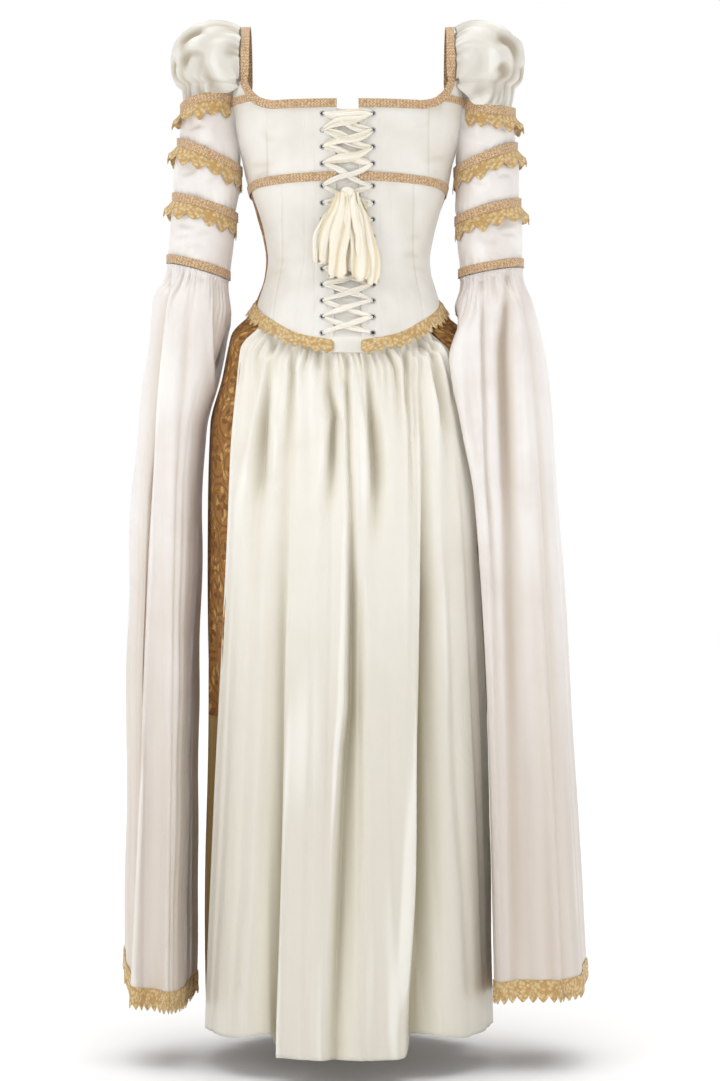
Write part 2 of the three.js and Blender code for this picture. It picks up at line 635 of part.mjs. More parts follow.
function bellPoint(name, side, degrees, t) {
  const z = mix(bellTop(name, degrees), BELL_HEM[name].z((degrees + 360) % 360), t);
  const start = sleevePoint(name, side, degrees, z);
  const size = BELL[name];
  const [s, c] = [Math.sin(rad(degrees)), Math.cos(rad(degrees))];
  const middle = (size.outer(z) + size.inner(z)) / 2;
  const half = (size.outer(z) - size.inner(z)) / 2;
  const swing = BELL_FOLDS[name].reduce(
    (sum, fold) => sum + fold.size * Math.cos(rad(degrees) * fold.waves + fold.turn), 0) * ease(t / 0.7);
  const across = middle + (half - 6 * ease(t / 0.7) + swing * 0.6) * bend(c, 2.3);
  const depth = -(s > 0 ? size.back(z) : size.front(z)) * bend(s, 2.3) - swing * s;
  const clear = Math.max(across, skirtReach(depth, z) + SKIRT_CLEARANCE * ease((-392 - z) / 60));
  return start.lerp(new THREE.Vector3(side * clear, depth, z), ease(t / 0.05));
}

function bell(name, side) {
  const surface = (a, t) => bellPoint(name, side, a, t);
  const columns = span(0, 360, BELL_COLUMNS).slice(0, -1);
  const gathered = { low: -CLOTH, high: 0, closed: true, outward: side, out: gather(BELL_GATHER) };
  add(`bell_sleeve_${name}`, wall(surface, columns, BELL_ROWS, gathered), COLOURS.ivory, FINISH.satin);
  const faces = [LIFT, LIFT + TRIM].map((offset) => [0, 1, 2].map((r) => columns.map((a, i) => {
    const t = r === 0 ? BELL_LACE.above : 1;
    const place = surface(a, t).addScaledVector(normalAt(surface, a, t, side), offset);
    if (r === 2) place.z -= i % 2 ? BELL_LACE.tip : BELL_LACE.valley;
    return place;
  })));
  add(`bell_lace_${name}`, closeWall(faces, true), COLOURS.lace, FINISH.trim);
}

// Eyelets, as rings set on the bodice beside the laced opening.
const EYELET_ROWS = EYELET_RUNS.flatMap(({ top, pitch, count }) => (
  Array.from({ length: count }, (_, i) => top - i * pitch)));

function eyeletPlace(side, row, lift) {
  const z = EYELET_ROWS[row];
  const degrees = side * degreesAt(EYELET.x, BODICE.side(z), BODICE_POWER);
  const facing = normalAt((a, t) => bodicePoint(a, z - t), degrees, 0.5, -1);
  return { place: bodicePoint(degrees, z).addScaledVector(facing, lift), facing };
}

function eyelets() {
  const { outer, inner, height } = EYELET;
  const profile = [[inner, 0], [outer, 0], [(outer + inner) / 2, height], [inner, 0]]
    .map(([r, h]) => new THREE.Vector2(r, h));
  for (const [name, side] of SIDES) {
    for (let row = 0; row < EYELET_ROWS.length; row += 1) {
      const { place, facing } = eyeletPlace(side, row, EYELET.lift);
      const ring = add(`eyelet_${name}_${String(row + 1).padStart(2, '0')}`,
        new THREE.LatheGeometry(profile, 8), COLOURS.nickel, FINISH.metal);
      ring.quaternion.setFromUnitVectors(new THREE.Vector3(0, 1, 0), facing);
      ring.position.copy(place);
    }
  }
}

// Ribbon laced crosswise through the eyelets: two zigzag runs, one over the other, that start
// from the two ends of a level bar at the top.
const LACING_LIFT = EYELET.lift + EYELET.height + 1.9;

function lacingRun(startSide, level) {
  const TURN = 0.12;
  const stops = [];
  for (let row = 0; row < EYELET_ROWS.length - 1; row += 1) {
    const side = row % 2 ? -startSide : startSide;
    const [from, to] = [eyeletPlace(side, row, 0), eyeletPlace(-side, row + 1, 0)];
    for (const share of [TURN, 1 - TURN]) {
      stops.push({
        place: from.place.clone().lerp(to.place, share),
        facing: from.facing.clone().lerp(to.facing, share).normalize(),
      });
    }
  }
  return ribbon(stops, RIBBON.width, LACING_LIFT + level, LACING_LIFT + level + RIBBON.thick);
}

function lacing() {
  const ends = [eyeletPlace(-1, 0, 0), eyeletPlace(1, 0, 0)];
  const bar = ribbon(ends, RIBBON.width, LACING_LIFT, LACING_LIFT + 2.4);
  const runs = [lacingRun(-1, 0), lacingRun(1, RIBBON.thick + 0.35)];
  add('lacing', joined([bar, ...runs]), COLOURS.ribbon, FINISH.satin);
}

// Tied bow of the lacing ribbon: a knot, hanging loops and two free ends.
const BOW = { z: -252, knot: 9, width: 15 };
const BOW_LOOPS = [
  { x: -17, lean: -9, length: 118, width: 15 },
  { x: 0, lean: -2, length: 124, width: 17 },
  { x: 20, lean: 7, length: 130, width: 15 },
];
const BOW_ENDS = [
  { x: -24, lean: -14, length: 66, width: 8 },
  { x: 10, lean: 10, length: 96, width: 12 },
];

function bow() {
  const backY = (z) => bodicePoint(0, z).y - LACING_LIFT - 2 * RIBBON.thick + 0.9;
  const knot = new THREE.SphereGeometry(BOW.knot, 10, 7);
  knot.scale(1.5, 0.7, 1);
  knot.translate(0, backY(BOW.z) - BOW.knot * 0.75, BOW.z);
  const start = BOW.knot * 0.9;
  const hang = (loop, share, depth) => new THREE.Vector3(
    loop.x * Math.min(share * 3, 1) + loop.lean * share,
    backY(BOW.z - loop.length * share) - depth,
    BOW.z - loop.length * share);
  const loops = BOW_LOOPS.map((loop) => {
    const front = [[0, start], [0.2, 17], [0.5, 19], [0.8, 14], [0.97, 9]];
    const behind = [[1, 5], [0.95, 1.5], [0.7, 1.2], [0.35, 1.2], [0.08, 2.5]];
    const stops = [...front, ...behind].map(([share, depth]) => hang(loop, share, depth));
    return strip(stops, loop.width);
  });
  const ends = BOW_ENDS.map((end) => strip(
    [[0, start], [0.15, 14], [0.4, 20], [0.7, 21.5], [1, 20]].map(([share, depth]) => hang(end, share, depth)),
    end.width));
  add('bow', joined([knot, ...loops, ...ends]), COLOURS.ribbon, FINISH.satin);
}

// Ribbon whose width lies along X and whose path bends in depth and height.
function strip(stops, width) {
  const sideways = new THREE.Vector3(1, 0, 0);
  return ribbon(stops.map((place, i) => {
    const before = stops[Math.max(i - 1, 0)];
    const after = stops[Math.min(i + 1, stops.length - 1)];
    const along = after.clone().sub(before).normalize();
    return { place, facing: new THREE.Vector3().crossVectors(along, sideways).normalize() };
  }), width, -0.6, 0.6);
}

bodicePanels();
modestyPanel();
neckBraid();
underbustBraid();
skirt();
waistLace();
for (const [name, side] of SIDES) {
  puff(name, side);
  upperSleeve(name, side);
  [1, 2, 3].forEach((number) => armBand(name, side, number));
  bell(name, side);
}
eyelets();
lacing();
bow();

export default group;
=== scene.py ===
"""Corset dress seen from its laced back: satin, brocade, braid and lace on the shared frame."""
import bpy
import numpy as np
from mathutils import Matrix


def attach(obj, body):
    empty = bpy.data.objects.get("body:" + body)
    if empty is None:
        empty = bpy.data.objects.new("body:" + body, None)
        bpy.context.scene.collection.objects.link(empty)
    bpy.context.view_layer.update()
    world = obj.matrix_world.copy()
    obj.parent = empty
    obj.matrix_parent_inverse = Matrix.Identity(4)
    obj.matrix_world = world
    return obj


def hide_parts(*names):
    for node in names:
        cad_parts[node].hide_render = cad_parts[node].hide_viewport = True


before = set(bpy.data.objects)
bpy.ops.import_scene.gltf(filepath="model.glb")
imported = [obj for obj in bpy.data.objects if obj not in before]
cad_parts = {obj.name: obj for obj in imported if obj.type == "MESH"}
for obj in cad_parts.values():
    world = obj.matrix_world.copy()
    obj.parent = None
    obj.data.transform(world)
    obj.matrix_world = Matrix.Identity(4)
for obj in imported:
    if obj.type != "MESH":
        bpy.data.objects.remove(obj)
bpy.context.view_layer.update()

scene = bpy.context.scene

# Camera at the photograph's viewing angle, level with the middle of the dress
eye = bpy.data.objects.new("camera", bpy.data.cameras.new("camera"))
eye.data.lens = 81.5
eye.data.sensor_width = 36
eye.location = (0.0172, -3.5, -0.733)
eye.rotation_euler = (np.pi / 2, 0, 0)
scene.collection.objects.link(eye)
scene.camera = eye

# Sizes in millimetres, +Z up, back of the dress towards -Y
NECK_Z = -119
STRAP_BASE_Z = -88
STRAP_TOP_Z = -1
STRAP_X = 145
BRAID_WIDTH = 12
STRAP_RUN = 57
BODICE_POWER = 2.3
SKIRT_TOP_GAP = 0.9
SKIRT_BLEND = 42
BROCADE_SHARE = 0.57
EYELET_X = 35
EYELET_ROWS = [-139 - 23.2 * i for i in range(4)] + [-239 - 22.9 * i for i in range(10)]
SIDES = {"left": -1, "right": 1}
UNDERBUST_Z = -225
POINT_Z = -466
HEM = (-1410, -1433)  # at the sides, and at the centre back
SLEEVE_X = 203
BELL_X = 240


def mix(a, b, t):
    return a + (b - a) * t


def ease(t):
    t = np.clip(t, 0, 1)
    return t * t * (3 - 2 * t)


def smooth(at, values):
    """A smooth function through the values that never overshoots them."""
    at, values = np.asarray(at, float), np.asarray(values, float)
    step = np.diff(at)
    slope = np.diff(values) / step
    before, after = slope[:-1], slope[1:]
    both = before * after > 0
    middle = np.where(both, 2 * before * after / np.where(both, before + after, 1), 0)
    tangent = np.concatenate([slope[:1], middle, slope[-1:]])

    def value(x):
        x = np.clip(x, at[0], at[-1])
        i = np.clip(np.searchsorted(at, x, "right") - 1, 0, len(step) - 1)
        h = step[i]
        t = (x - at[i]) / h
        swing = h * t * (1 - t) * (tangent[i] * (1 - t) - tangent[i + 1] * t)
        return mix(values[i], values[i + 1], ease(t)) + swing

    return value


class Table:
    """Sizes by height or by angle: the first column is where each row holds."""

    def __init__(self, columns, rows):
        rows = np.array(sorted(rows), float)
        for k, column in enumerate(columns.split()):
            setattr(self, column, smooth(rows[:, 0], rows[:, k + 1]))


BODICE = Table("side back front", [
    (-80, 176, 88, 96), (-120, 168, 95, 110), (-160, 159, 98, 120), (-196, 149.5, 98, 122),
    (-235, 141, 94, 112), (-270, 130, 88, 100), (-300, 121.5, 84, 92), (-332, 116.5, 82, 88),
    (-358, 119.5, 84, 88), (-392, 130.5, 93, 95), (-430, 143, 104, 105), (-475, 153, 113, 113),
])
SKIRT = Table("side back front power", [
    (-392, 141, 96, 98, 2.3), (-416, 160, 104, 106, 2.3), (-457, 171, 114, 116, 2.3),
    (-502, 180, 126, 126, 2.25), (-568, 197, 140, 138, 2.2), (-700, 202, 160, 152, 2.1),
    (-1000, 204, 186, 178, 2.0), (-1440, 206, 212, 205, 2.0),
])
SKIRT_SEAM = Table("left right", [
    (-392, 104, 108), (-415, 122, 124), (-433, 137, 131), (-456, 146, 140), (-486, 151, 150),
    (-540, 155, 160), (-610, 160, 171), (-700, 163, 179), (-870, 172, 187), (-1100, 184, 196),
    (-1440, 199, 206),
])
TOP_EDGE = [
    (0, -119), (12, -119), (24, -119), (36, -119), (44, -111.5), (49, -102), (51.5, -92),
    (56.5, -86), (62, -83), (67, -90), (74, -120), (79, -160), (90, -193),
]
LOWER_EDGE = Table("z", [
    (0, -466), (8, -462), (22, -455), (45, -433), (75, -408), (88, -398), (110, -402),
    (140, -418), (180, -432),
]).z
UNDERBUST = Table("z", [(0, -225), (60, -230), (90, -236), (140, -238), (180, -240)]).z
SLEEVE = {
    "left": Table("outer inner depth", [
        (-85, 238, 156, 49), (-133, 237.5, 160, 48), (-160, 242, 157, 49), (-203, 247, 152.5, 50),
        (-247, 250, 156, 50), (-303, 255, 163, 49), (-365, 261, 171, 47),
    ]),
    "right": Table("outer inner depth", [
        (-85, 238, 156, 49), (-133, 237.5, 160, 48), (-160, 240, 157, 49), (-203, 244, 152.5, 50),
        (-247, 246, 152.5, 50), (-303, 248, 156, 49), (-365, 251, 160, 47),
    ]),
}
SLEEVE_TOP = Table("z", [
    (0, -88), (60, -88), (95, -88), (125, -89), (150, -97), (165, -116), (180, -148),
]).z
# Levels of each arm band and elbow at the outer and inner side, and how far the middle rises above them
ARM_BANDS = {
    "left": [(-118, -109, 6), (-165, -206, 0), (-243, -272, 0)],
    "right": [(-123, -110, -8), (-171, -207, 0), (-251, -277, 0)],
}
ELBOW = {"left": (-331, -355, 0), "right": (-337, -352, 0)}
PUFF = Table("reach depth", [
    (0, 87, 58), (8, 95, 60), (20, 104, 64), (35, 111, 67), (52, 115, 67), (66, 110, 64),
    (78, 104, 60), (85, 98, 56), (90, 87, 51),
])
BELL = {
    "left": Table("outer inner back front", [
        (-340, 260, 169, 47, 47), (-397, 279, 166, 64, 56), (-455, 286, 171, 76, 60),
        (-518, 295, 184, 84, 62), (-579, 301, 199, 90, 64), (-673, 312, 202, 94, 68),
        (-961, 324, 204, 100, 76), (-1165, 326, 207, 104, 80), (-1390, 329, 209, 106, 84),
    ]),
    "right": Table("outer inner back front", [
        (-340, 251, 159, 47, 47), (-397, 264, 151, 70, 52), (-455, 279, 151, 84, 54),
        (-518, 290, 156, 92, 56), (-579, 296, 170, 98, 58), (-673, 303, 188, 104, 62),
        (-961, 325, 200, 112, 70), (-1165, 337, 206, 118, 74), (-1390, 352, 210, 122, 78),
    ]),
}
BELL_HEM = {
    "left": Table("z", [(0, -1330), (45, -1362), (90, -1372), (180, -1374), (270, -1318),
                        (315, -1312), (360, -1330)]).z,
    "right": Table("z", [(0, -1344), (60, -1352), (90, -1354), (180, -1358), (270, -1338),
                         (315, -1338), (360, -1344)]).z,
}
BELL_WAVES = {
    "left": [(3, 6, 0.6), (5, 6, 2.1), (8, 3.5, 4)],
    "right": [(3, 6, 2.4), (5, 6.5, 0.4), (8, 3.5, 1)],
}


def bend(value, power):
    return np.sign(value) * np.abs(value) ** (2 / power)


def outline(side, back, front, power, degrees, z):
    """Points of a plan outline, in degrees from the centre back towards +X."""
    turn = np.radians(degrees)
    s, c = bend(np.sin(turn), power), bend(np.cos(turn), power)
    return np.stack(np.broadcast_arrays(side * s, np.where(c > 0, -back, -front) * c, z), -1)


def bodice_point(degrees, z):
    return outline(BODICE.side(z), BODICE.back(z), BODICE.front(z), BODICE_POWER, degrees, z)


def degrees_at(x, side, power=BODICE_POWER):
    return np.degrees(np.arcsin(np.minimum(x / side, 1) ** (power / 2)))


def fold_angle(degrees):
    return np.abs((np.asarray(degrees) + 540) % 360 - 180)


def top_edge(degrees):
    a = fold_angle(degrees)
    return np.interp(np.where(a > 90, 180 - a, a), *zip(*TOP_EDGE))


def lower_edge(degrees):
    return LOWER_EDGE(fold_angle(degrees))


def underbust(degrees):
    return UNDERBUST(fold_angle(degrees))


def gap_degrees(z):
    half = mix(15, 19, ease((NECK_Z - z) / (NECK_Z - POINT_Z)))
    return degrees_at(half, BODICE.side(z))


def skirt_top(degrees):
    return lower_edge(degrees) - SKIRT_TOP_GAP


def skirt_base(degrees, z):
    own = outline(SKIRT.side(z), SKIRT.back(z), SKIRT.front(z), SKIRT.power(z), degrees, z)
    share = ease((skirt_top(degrees) - z) / SKIRT_BLEND)
    return mix(bodice_point(degrees, z), own, np.broadcast_to(share, own.shape[:-1])[..., None])


def seam_degrees(side, z):
    x = (SKIRT_SEAM.left if side < 0 else SKIRT_SEAM.right)(z)
    reach = mix(BODICE.side(z), SKIRT.side(z), ease((-398 - z) / SKIRT_BLEND))
    return degrees_at(x, reach, SKIRT.power(z))


def around(levels, degrees):
    """Height of a level band round a sleeve, in degrees from its outer side."""
    outer, inner, rise = levels
    turn = np.radians(degrees)
    return mix(outer, inner, (1 - np.cos(turn)) / 2) + rise * np.sin(turn) ** 2


def sleeve_point(name, degrees, z):
    size, turn = SLEEVE[name], np.radians(degrees)
    outer, inner = size.outer(z), size.inner(z)
    x = SIDES[name] * ((outer + inner) / 2 + (outer - inner) / 2 * np.cos(turn))
    return np.stack(np.broadcast_arrays(x, -size.depth(z) * np.sin(turn), z), -1)


def skirt_reach(y, z):
    depth = np.where(y < 0, SKIRT.back(z), SKIRT.front(z))
    inside = np.maximum(1 - np.abs(y / depth) ** SKIRT.power(z), 0)
    return SKIRT.side(z) * inside ** (1 / SKIRT.power(z))


def bell_top(name, degrees):
    return around(ELBOW[name], degrees) - BRAID_WIDTH / 2 - SKIRT_TOP_GAP


def bell_point(name, degrees, t):
    z = mix(bell_top(name, degrees), BELL_HEM[name](degrees % 360), t)
    start = sleeve_point(name, degrees, z)
    size, turn = BELL[name], np.radians(degrees)
    s, c = np.sin(turn), np.cos(turn)
    outer, inner = size.outer(z), size.inner(z)
    swing = sum(reach * np.cos(turn * waves + phase) for waves, reach, phase in BELL_WAVES[name])
    swing = swing * ease(t / 0.7)
    half = (outer - inner) / 2 - 6 * ease(t / 0.7) + swing * 0.6
    across = (outer + inner) / 2 + half * bend(c, 2.3)
    depth = -np.where(s > 0, size.back(z), size.front(z)) * bend(s, 2.3) - swing * s
    if name == "right":
        corner = np.exp(-((degrees - 128) / 26) ** 2) * ease((-395 - z) / 90)
        across = across - 30 * corner
        depth = depth - 24 * corner
    clear = np.maximum(across, skirt_reach(depth, z) + 9 * ease((-392 - z) / 60))
    end = np.stack([SIDES[name] * clear, depth, z], -1)
    return mix(start, end, ease(t / 0.05)[..., None])


def puff_point(name, a, lean):
    swell = np.maximum(np.sin(a * np.pi), 0) ** 0.75
    pinch = 1 + 10 * ease(np.minimum(a, 1 - a) / 0.03)
    reach = mix(pinch, PUFF.reach(lean), swell)
    turn = np.radians(lean)
    return np.stack([SIDES[name] * (152.3 + reach * np.sin(turn)),
                     -PUFF.depth(lean) * bend(np.cos(np.clip(a, 0, 1) * np.pi), 2.5),
                     STRAP_BASE_Z + reach * np.cos(turn)], -1)


# Relief of cloth. Every function gives how deep the cloth is drawn in, in millimetres.
def valleys(x, z, folds):
    """Long folds: each knot is z, x, depth, width to the left and width to the right."""
    total = np.zeros(np.broadcast(x, z).shape)
    for knots in folds:
        rows = np.array(sorted(knots), float).T
        middle, depth, left, right = (smooth(rows[0], row)(z) for row in rows[1:])
        own, other = np.where(x < middle, (left, right), (right, left))
        off = np.abs(x - middle) / own
        sharp = 2 + 0.7 * np.sign(other - own)
        roll = np.exp(-((off - 2) / 0.8) ** 2)
        total += depth * (np.exp(-off ** sharp) - 0.14 * roll)
    return total


def gathers(u, down, pitch, reach, depth, seed):
    """Short uneven folds side by side under a seam."""
    pick = np.random.default_rng(seed)
    total = np.zeros(np.broadcast(u, down).shape)
    at = float(np.min(u))
    while at < np.max(u):
        at += pitch * pick.uniform(0.55, 1.5)
        size, width = depth * pick.uniform(0.45, 1.25), pitch * pick.uniform(0.2, 0.42)
        lean, length = pick.uniform(-0.1, 0.1), pick.uniform(*reach)
        spread = width * (1 + down / length)
        total += size * np.exp(-((u - at - lean * down) / spread) ** 2) * (1 - ease(down / length))
    return total


def creases(x, z, marks):
    """Single creases: from x, z to x, z, then depth and half width, fading at both ends."""
    total = np.zeros(np.broadcast(x, z).shape)
    for x0, z0, x1, z1, depth, half in marks:
        run, rise = x1 - x0, z1 - z0
        length = np.hypot(run, rise)
        along = ((x - x0) * run + (z - z0) * rise) / length ** 2
        off = ((x - x0) * rise - (z - z0) * run) / length
        bow = half * 0.9 * np.sin(along * np.pi)
        total += depth * ease(along / 0.4) * ease((1 - along) / 0.4) * np.exp(-((off - bow) / half) ** 2)
    return total


def swells(u, v, size, scale, seed):
    """Broad soft unevenness of hanging cloth."""
    pick = np.random.default_rng(seed)
    total = 0
    for _ in range(7):
        angle, phase, wave = pick.uniform(0, np.pi), pick.uniform(0, 6.3), scale * pick.uniform(0.6, 1.6)
        total = total + np.sin((u * np.cos(angle) + v * np.sin(angle) * 0.6) / wave * 6.3 + phase)
    return total * size / 3


def drapes(u, drop, count, depth, seed, width=0.32):
    """Long hanging folds of uneven spacing, width and depth that grow towards the hem."""
    pick = np.random.default_rng(seed)
    low, high = float(np.min(u)), float(np.max(u))
    pitch = (high - low) / count
    total = np.zeros(np.broadcast(u, drop).shape)
    for i in range(count):
        at = low + (i + pick.uniform(0.2, 0.8)) * pitch
        begin, size = pick.uniform(0, 0.25), depth * pick.uniform(0.45, 1.3)
        lean, sharp = pick.uniform(-0.3, 0.3) * pitch, pick.uniform(0.5, 1)
        half = pitch * width * pick.uniform(0.6, 1.3)
        off = u - at - lean * drop
        off = off / np.where(off < 0, half * sharp, half / sharp ** 0.5)
        total += size * np.exp(-off ** 2) * ease((drop - begin) / 0.5)
    return total


# Meshes
def lengths(points, axis):
    step = np.linalg.norm(np.diff(points, axis=axis), axis=-1)
    first = np.zeros_like(np.take(step, [0], axis=axis))
    return np.cumsum(np.concatenate([first, step], axis=axis), axis=axis)


def unit(directions):
    return directions / np.linalg.norm(directions, axis=-1, keepdims=True)


def level_from(x, places):
    """Level directions that lead to the places from an upright line at x."""
    away = places - np.array([x, 0, 0])
    away[:, 2] = 0
    return unit(away)


def normals(points, closed, centre):
    """Directions that a grid of points faces, away from a centre."""
    grid = points
    if closed:
        grid = np.concatenate([points[:, -1:], points, points[:, :1]], axis=1)
    face = np.cross(np.gradient(grid, axis=1), np.gradient(grid, axis=0))
    if closed:
        face = face[:, 1:-1]
    face /= np.linalg.norm(face, axis=-1, keepdims=True) + 1e-9
    away = points - np.array([centre[0], centre[1], 0])
    away[..., 2] = points[..., 2] - centre[2] if len(centre) == 3 else 0
    return face * np.sign(np.sum(face * away))


def build(name, points, uv, closed, flip, material, slot, nodes, fold=None):
    rows, columns = points.shape[:2]
    r, c = np.meshgrid(np.arange(rows - 1), np.arange(columns if closed else columns - 1), indexing="ij")
    r, c = r.ravel(), c.ravel()
    corners = [(r, c), (r, c + 1), (r + 1, c + 1), (r + 1, c)]
    if flip:
        corners.reverse()
    faces = np.stack([a * columns + b % columns for a, b in corners], -1)
    mesh = bpy.data.meshes.new(name)
    mesh.vertices.add(rows * columns)
    mesh.vertices.foreach_set("co", (points / 1000).ravel())
    mesh.loops.add(faces.size)
    mesh.loops.foreach_set("vertex_index", faces.ravel())
    mesh.polygons.add(len(faces))
    mesh.polygons.foreach_set("loop_start", np.arange(len(faces)) * 4)
    mesh.update(calc_edges=True)
    layer = mesh.uv_layers.new(name="cloth")
    layer.data.foreach_set("uv", (np.stack([uv[a, b] for a, b in corners], 1) / 1000).ravel())
    shade = mesh.attributes.new("fold", "FLOAT", "POINT")
    shade.data.foreach_set("value", np.zeros(rows * columns) if fold is None else fold.ravel())
    mesh.shade_smooth()
    mesh.validate()
    return place(name, mesh, material, slot, nodes)


def place(name, mesh, material, slot, nodes):
    obj = bpy.data.objects.new(name.replace(" ", "-"), mesh)
    scene.collection.objects.link(obj)
    mesh.materials.append(material)
    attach(obj, "root")
    if nodes:
        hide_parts(*nodes)
    return obj


def cloth(name, base, relief, material, slot, nodes, centre=(0, 0), closed=False, thick=1.3, turn=3,
          uv=None, sunk=0.0, shade=1.0):
    """A piece of cloth with its edges turned in all round, its folds shaded by their depth."""
    face = normals(base, closed, centre)
    points = base - face * (relief + sunk)[..., None]
    across = lengths(np.concatenate([base, base[:, :1]], axis=1) if closed else base, 1)
    down = lengths(base, 0)
    if closed:
        down = np.concatenate([down, down[:, :1]], axis=1)
    middle = across[:, across.shape[1] // 2][:, None]
    if uv is None:
        uv = np.stack([across - middle, -down], -1)
    rows, columns = points.shape[:2]
    pick_r = [turn, 0, *range(rows), rows - 1, rows - 1 - turn]
    inset_r = np.array([1, 1, *[0] * rows, 1, 1])
    pick_c = list(range(columns))
    inset_c = np.zeros(columns)
    if not closed:
        pick_c = [turn, 0, *pick_c, columns - 1, columns - 1 - turn]
        inset_c = np.array([1, 1, *inset_c, 1, 1])
    inset = np.maximum(inset_r[:, None], inset_c[None, :])[..., None] * thick
    grid = np.ix_(pick_r, pick_c)
    points = points[grid] - face[grid] * inset
    uv = uv[np.ix_(pick_r, [*pick_c, columns] if closed else pick_c)]
    if closed:
        test = np.cross(base[1, 1] - base[1, 0], base[2, 0] - base[1, 0])
        flip = np.dot(test, face[1, 0]) < 0
    else:
        flip = np.dot(np.cross(base[1, 2] - base[1, 1], base[2, 1] - base[1, 1]), face[1, 1]) < 0
    return build(name, points, uv, closed, flip, material, slot, nodes, relief[grid] * shade)


class Socket:
    """An output of a shader node, on which arithmetic adds nodes."""

    def __init__(self, paint, output):
        self.paint = paint
        self.output = output

    def maths(self, operation, *values):
        return self.paint.node("ShaderNodeMath", {"operation": operation}, dict(enumerate(values)))

    def __add__(self, other):
        return self.maths("ADD", self, other)

    def __sub__(self, other):
        return self.maths("SUBTRACT", self, other)

    def __mul__(self, other):
        return self.maths("MULTIPLY", self, other)

    def __truediv__(self, other):
        return self.maths("DIVIDE", self, other)

    def __radd__(self, other):
        return self.maths("ADD", other, self)

    def __rsub__(self, other):
        return self.maths("SUBTRACT", other, self)

    def __rmul__(self, other):
        return self.maths("MULTIPLY", other, self)

    def __rtruediv__(self, other):
        return self.maths("DIVIDE", other, self)

    def apply(self, operation, *others):
        return self.maths(operation, self, *others)

    def sine(self):
        return self.apply("SINE")

    def size(self):
        return self.apply("ABSOLUTE")

    def wrap(self, length):
        return self.apply("WRAP", length, 0)

    def step(self, low, high, start=0.0, end=1.0):
        """Eases from start to end as the value runs from low to high."""
        return self.paint.node("ShaderNodeMapRange", {"interpolation_type": "SMOOTHSTEP"},
                               {0: self, 1: low, 2: high, 3: start, 4: end})


def tone(code):
    """Linear colour of a hexadecimal one."""
    parts = [int(code[i:i + 2], 16) / 255 for i in (0, 2, 4)]
    return (*[((c + 0.055) / 1.055) ** 2.4 if c > 0.04045 else c / 12.92 for c in parts], 1)


class Paint:
    """A shader made of nodes, for a material or for the world."""

    def __init__(self, name, values, owners=bpy.data.materials, shader="Principled BSDF"):
        self.material = owners.new(name)
        self.material.use_nodes = True
        self.tree = self.material.node_tree
        self.shader = self.tree.nodes[shader]
        for key, value in values.items():
            self.shader.inputs[key].default_value = value

    def node(self, kind, settings, inputs, output=0):
        made = self.tree.nodes.new(kind)
        for key, value in settings.items():
            setattr(made, key, value)
        for key, value in inputs.items():
            if isinstance(value, Socket):
                self.tree.links.new(value.output, made.inputs[key])
            else:
                made.inputs[key].default_value = value
        return Socket(self, made.outputs[output])

    def feed(self, name, value):
        self.tree.links.new(value.output, self.shader.inputs[name])

    def blend(self, share, a, b, mode="MIX"):
        links = {0: share, 6: a, 7: b}
        return self.node("ShaderNodeMix", {"data_type": "RGBA", "blend_type": mode}, links, 2)

    def spot(self):
        return self.node("ShaderNodeTexCoord", {}, {}, "Object")

    def flat(self):
        """Position on the cloth in metres: across and along."""
        place = self.node("ShaderNodeTexCoord", {}, {}, "UV")
        return (self.node("ShaderNodeSeparateXYZ", {}, {0: place}, 0),
                self.node("ShaderNodeSeparateXYZ", {}, {0: place}, 1))

    def vector(self, x, y, z=0.0):
        return self.node("ShaderNodeCombineXYZ", {}, {0: x, 1: y, 2: z})

    def noise(self, place, scale, detail=2.0, rough=0.5, twist=0.0):
        return self.node("ShaderNodeTexNoise", {}, {"Vector": place, "Scale": scale, "Detail": detail,
                                                    "Roughness": rough, "Distortion": twist})

    def cells(self, place, scale, feature="F1", output="Distance"):
        links = {"Vector": place, "Scale": scale}
        return self.node("ShaderNodeTexVoronoi", {"feature": feature}, links, output)

    def fold(self):
        return self.node("ShaderNodeAttribute", {"attribute_name": "fold"}, {}, "Fac")

    def bump(self, height, distance, strength=1.0):
        self.feed("Normal", self.node("ShaderNodeBump", {}, {
            "Height": height, "Distance": distance, "Strength": strength}))


def satin(name, light, shade, soft, deep, fold_from=3.0, fold_to=26.0, rough=0.34, wrinkle=0.35,
          fall=None, fall_from=-0.42):
    """Satin: close weave, soft sheen and small wrinkles, with a painted highlight on its raised ridges,
    painted shade in its folds and, where fall is given, painted shade towards the bottom.
    """
    paint = Paint(name, {"Sheen Weight": 0.08, "Sheen Roughness": 0.4, "Specular IOR Level": 0.6})
    u, v = paint.flat()
    spot = paint.spot()
    mottle = paint.noise(spot, 9.0, 3.0, 0.55)
    colour = paint.blend(mottle.step(0.38, 0.72), tone(light), tone(shade))
    # Painted shade: darker towards the bottom, from fall_from down to -1.2 m
    if fall:
        height = paint.node("ShaderNodeSeparateXYZ", {}, {0: spot}, 2)
        colour = paint.blend(height.step(fall_from, -1.2, 0.0, 1.0), colour, tone(fall))
    fold = paint.fold()
    # Painted highlight: ridges raised above the cloth are lightened towards near white
    colour = paint.blend(fold.step(-0.2, -3.0, 0.0, 0.45), colour, tone("FFFDF8"))
    # Painted shade: shallow folds take the soft colour and deep folds the deep colour, by the fold depth on
    # the mesh
    colour = paint.blend(fold.step(fold_from * 0.2, fold_from * 2.4, 0.0, 0.55), colour, tone(soft))
    colour = paint.blend(fold.step(fold_from, fold_to, 0.0, 0.8), colour, tone(deep))
    paint.feed("Base Color", colour)
    paint.feed("Roughness", paint.noise(spot, 26.0, 3.0).step(0.3, 0.7, rough - 0.05, rough + 0.08))
    weave = (u * 5200).sine() * (v * 4200).sine()
    small = paint.noise(paint.vector(u * 60, v * 34), 1.0, 4.0, 0.6, 0.7)
    broad = paint.noise(paint.vector(u * 18, v * 9), 1.0, 3.0, 0.55, 1.2)
    paint.bump(small * 0.35 * wrinkle + broad * 1.3 * wrinkle + weave * 0.012, 0.004)
    return paint.material


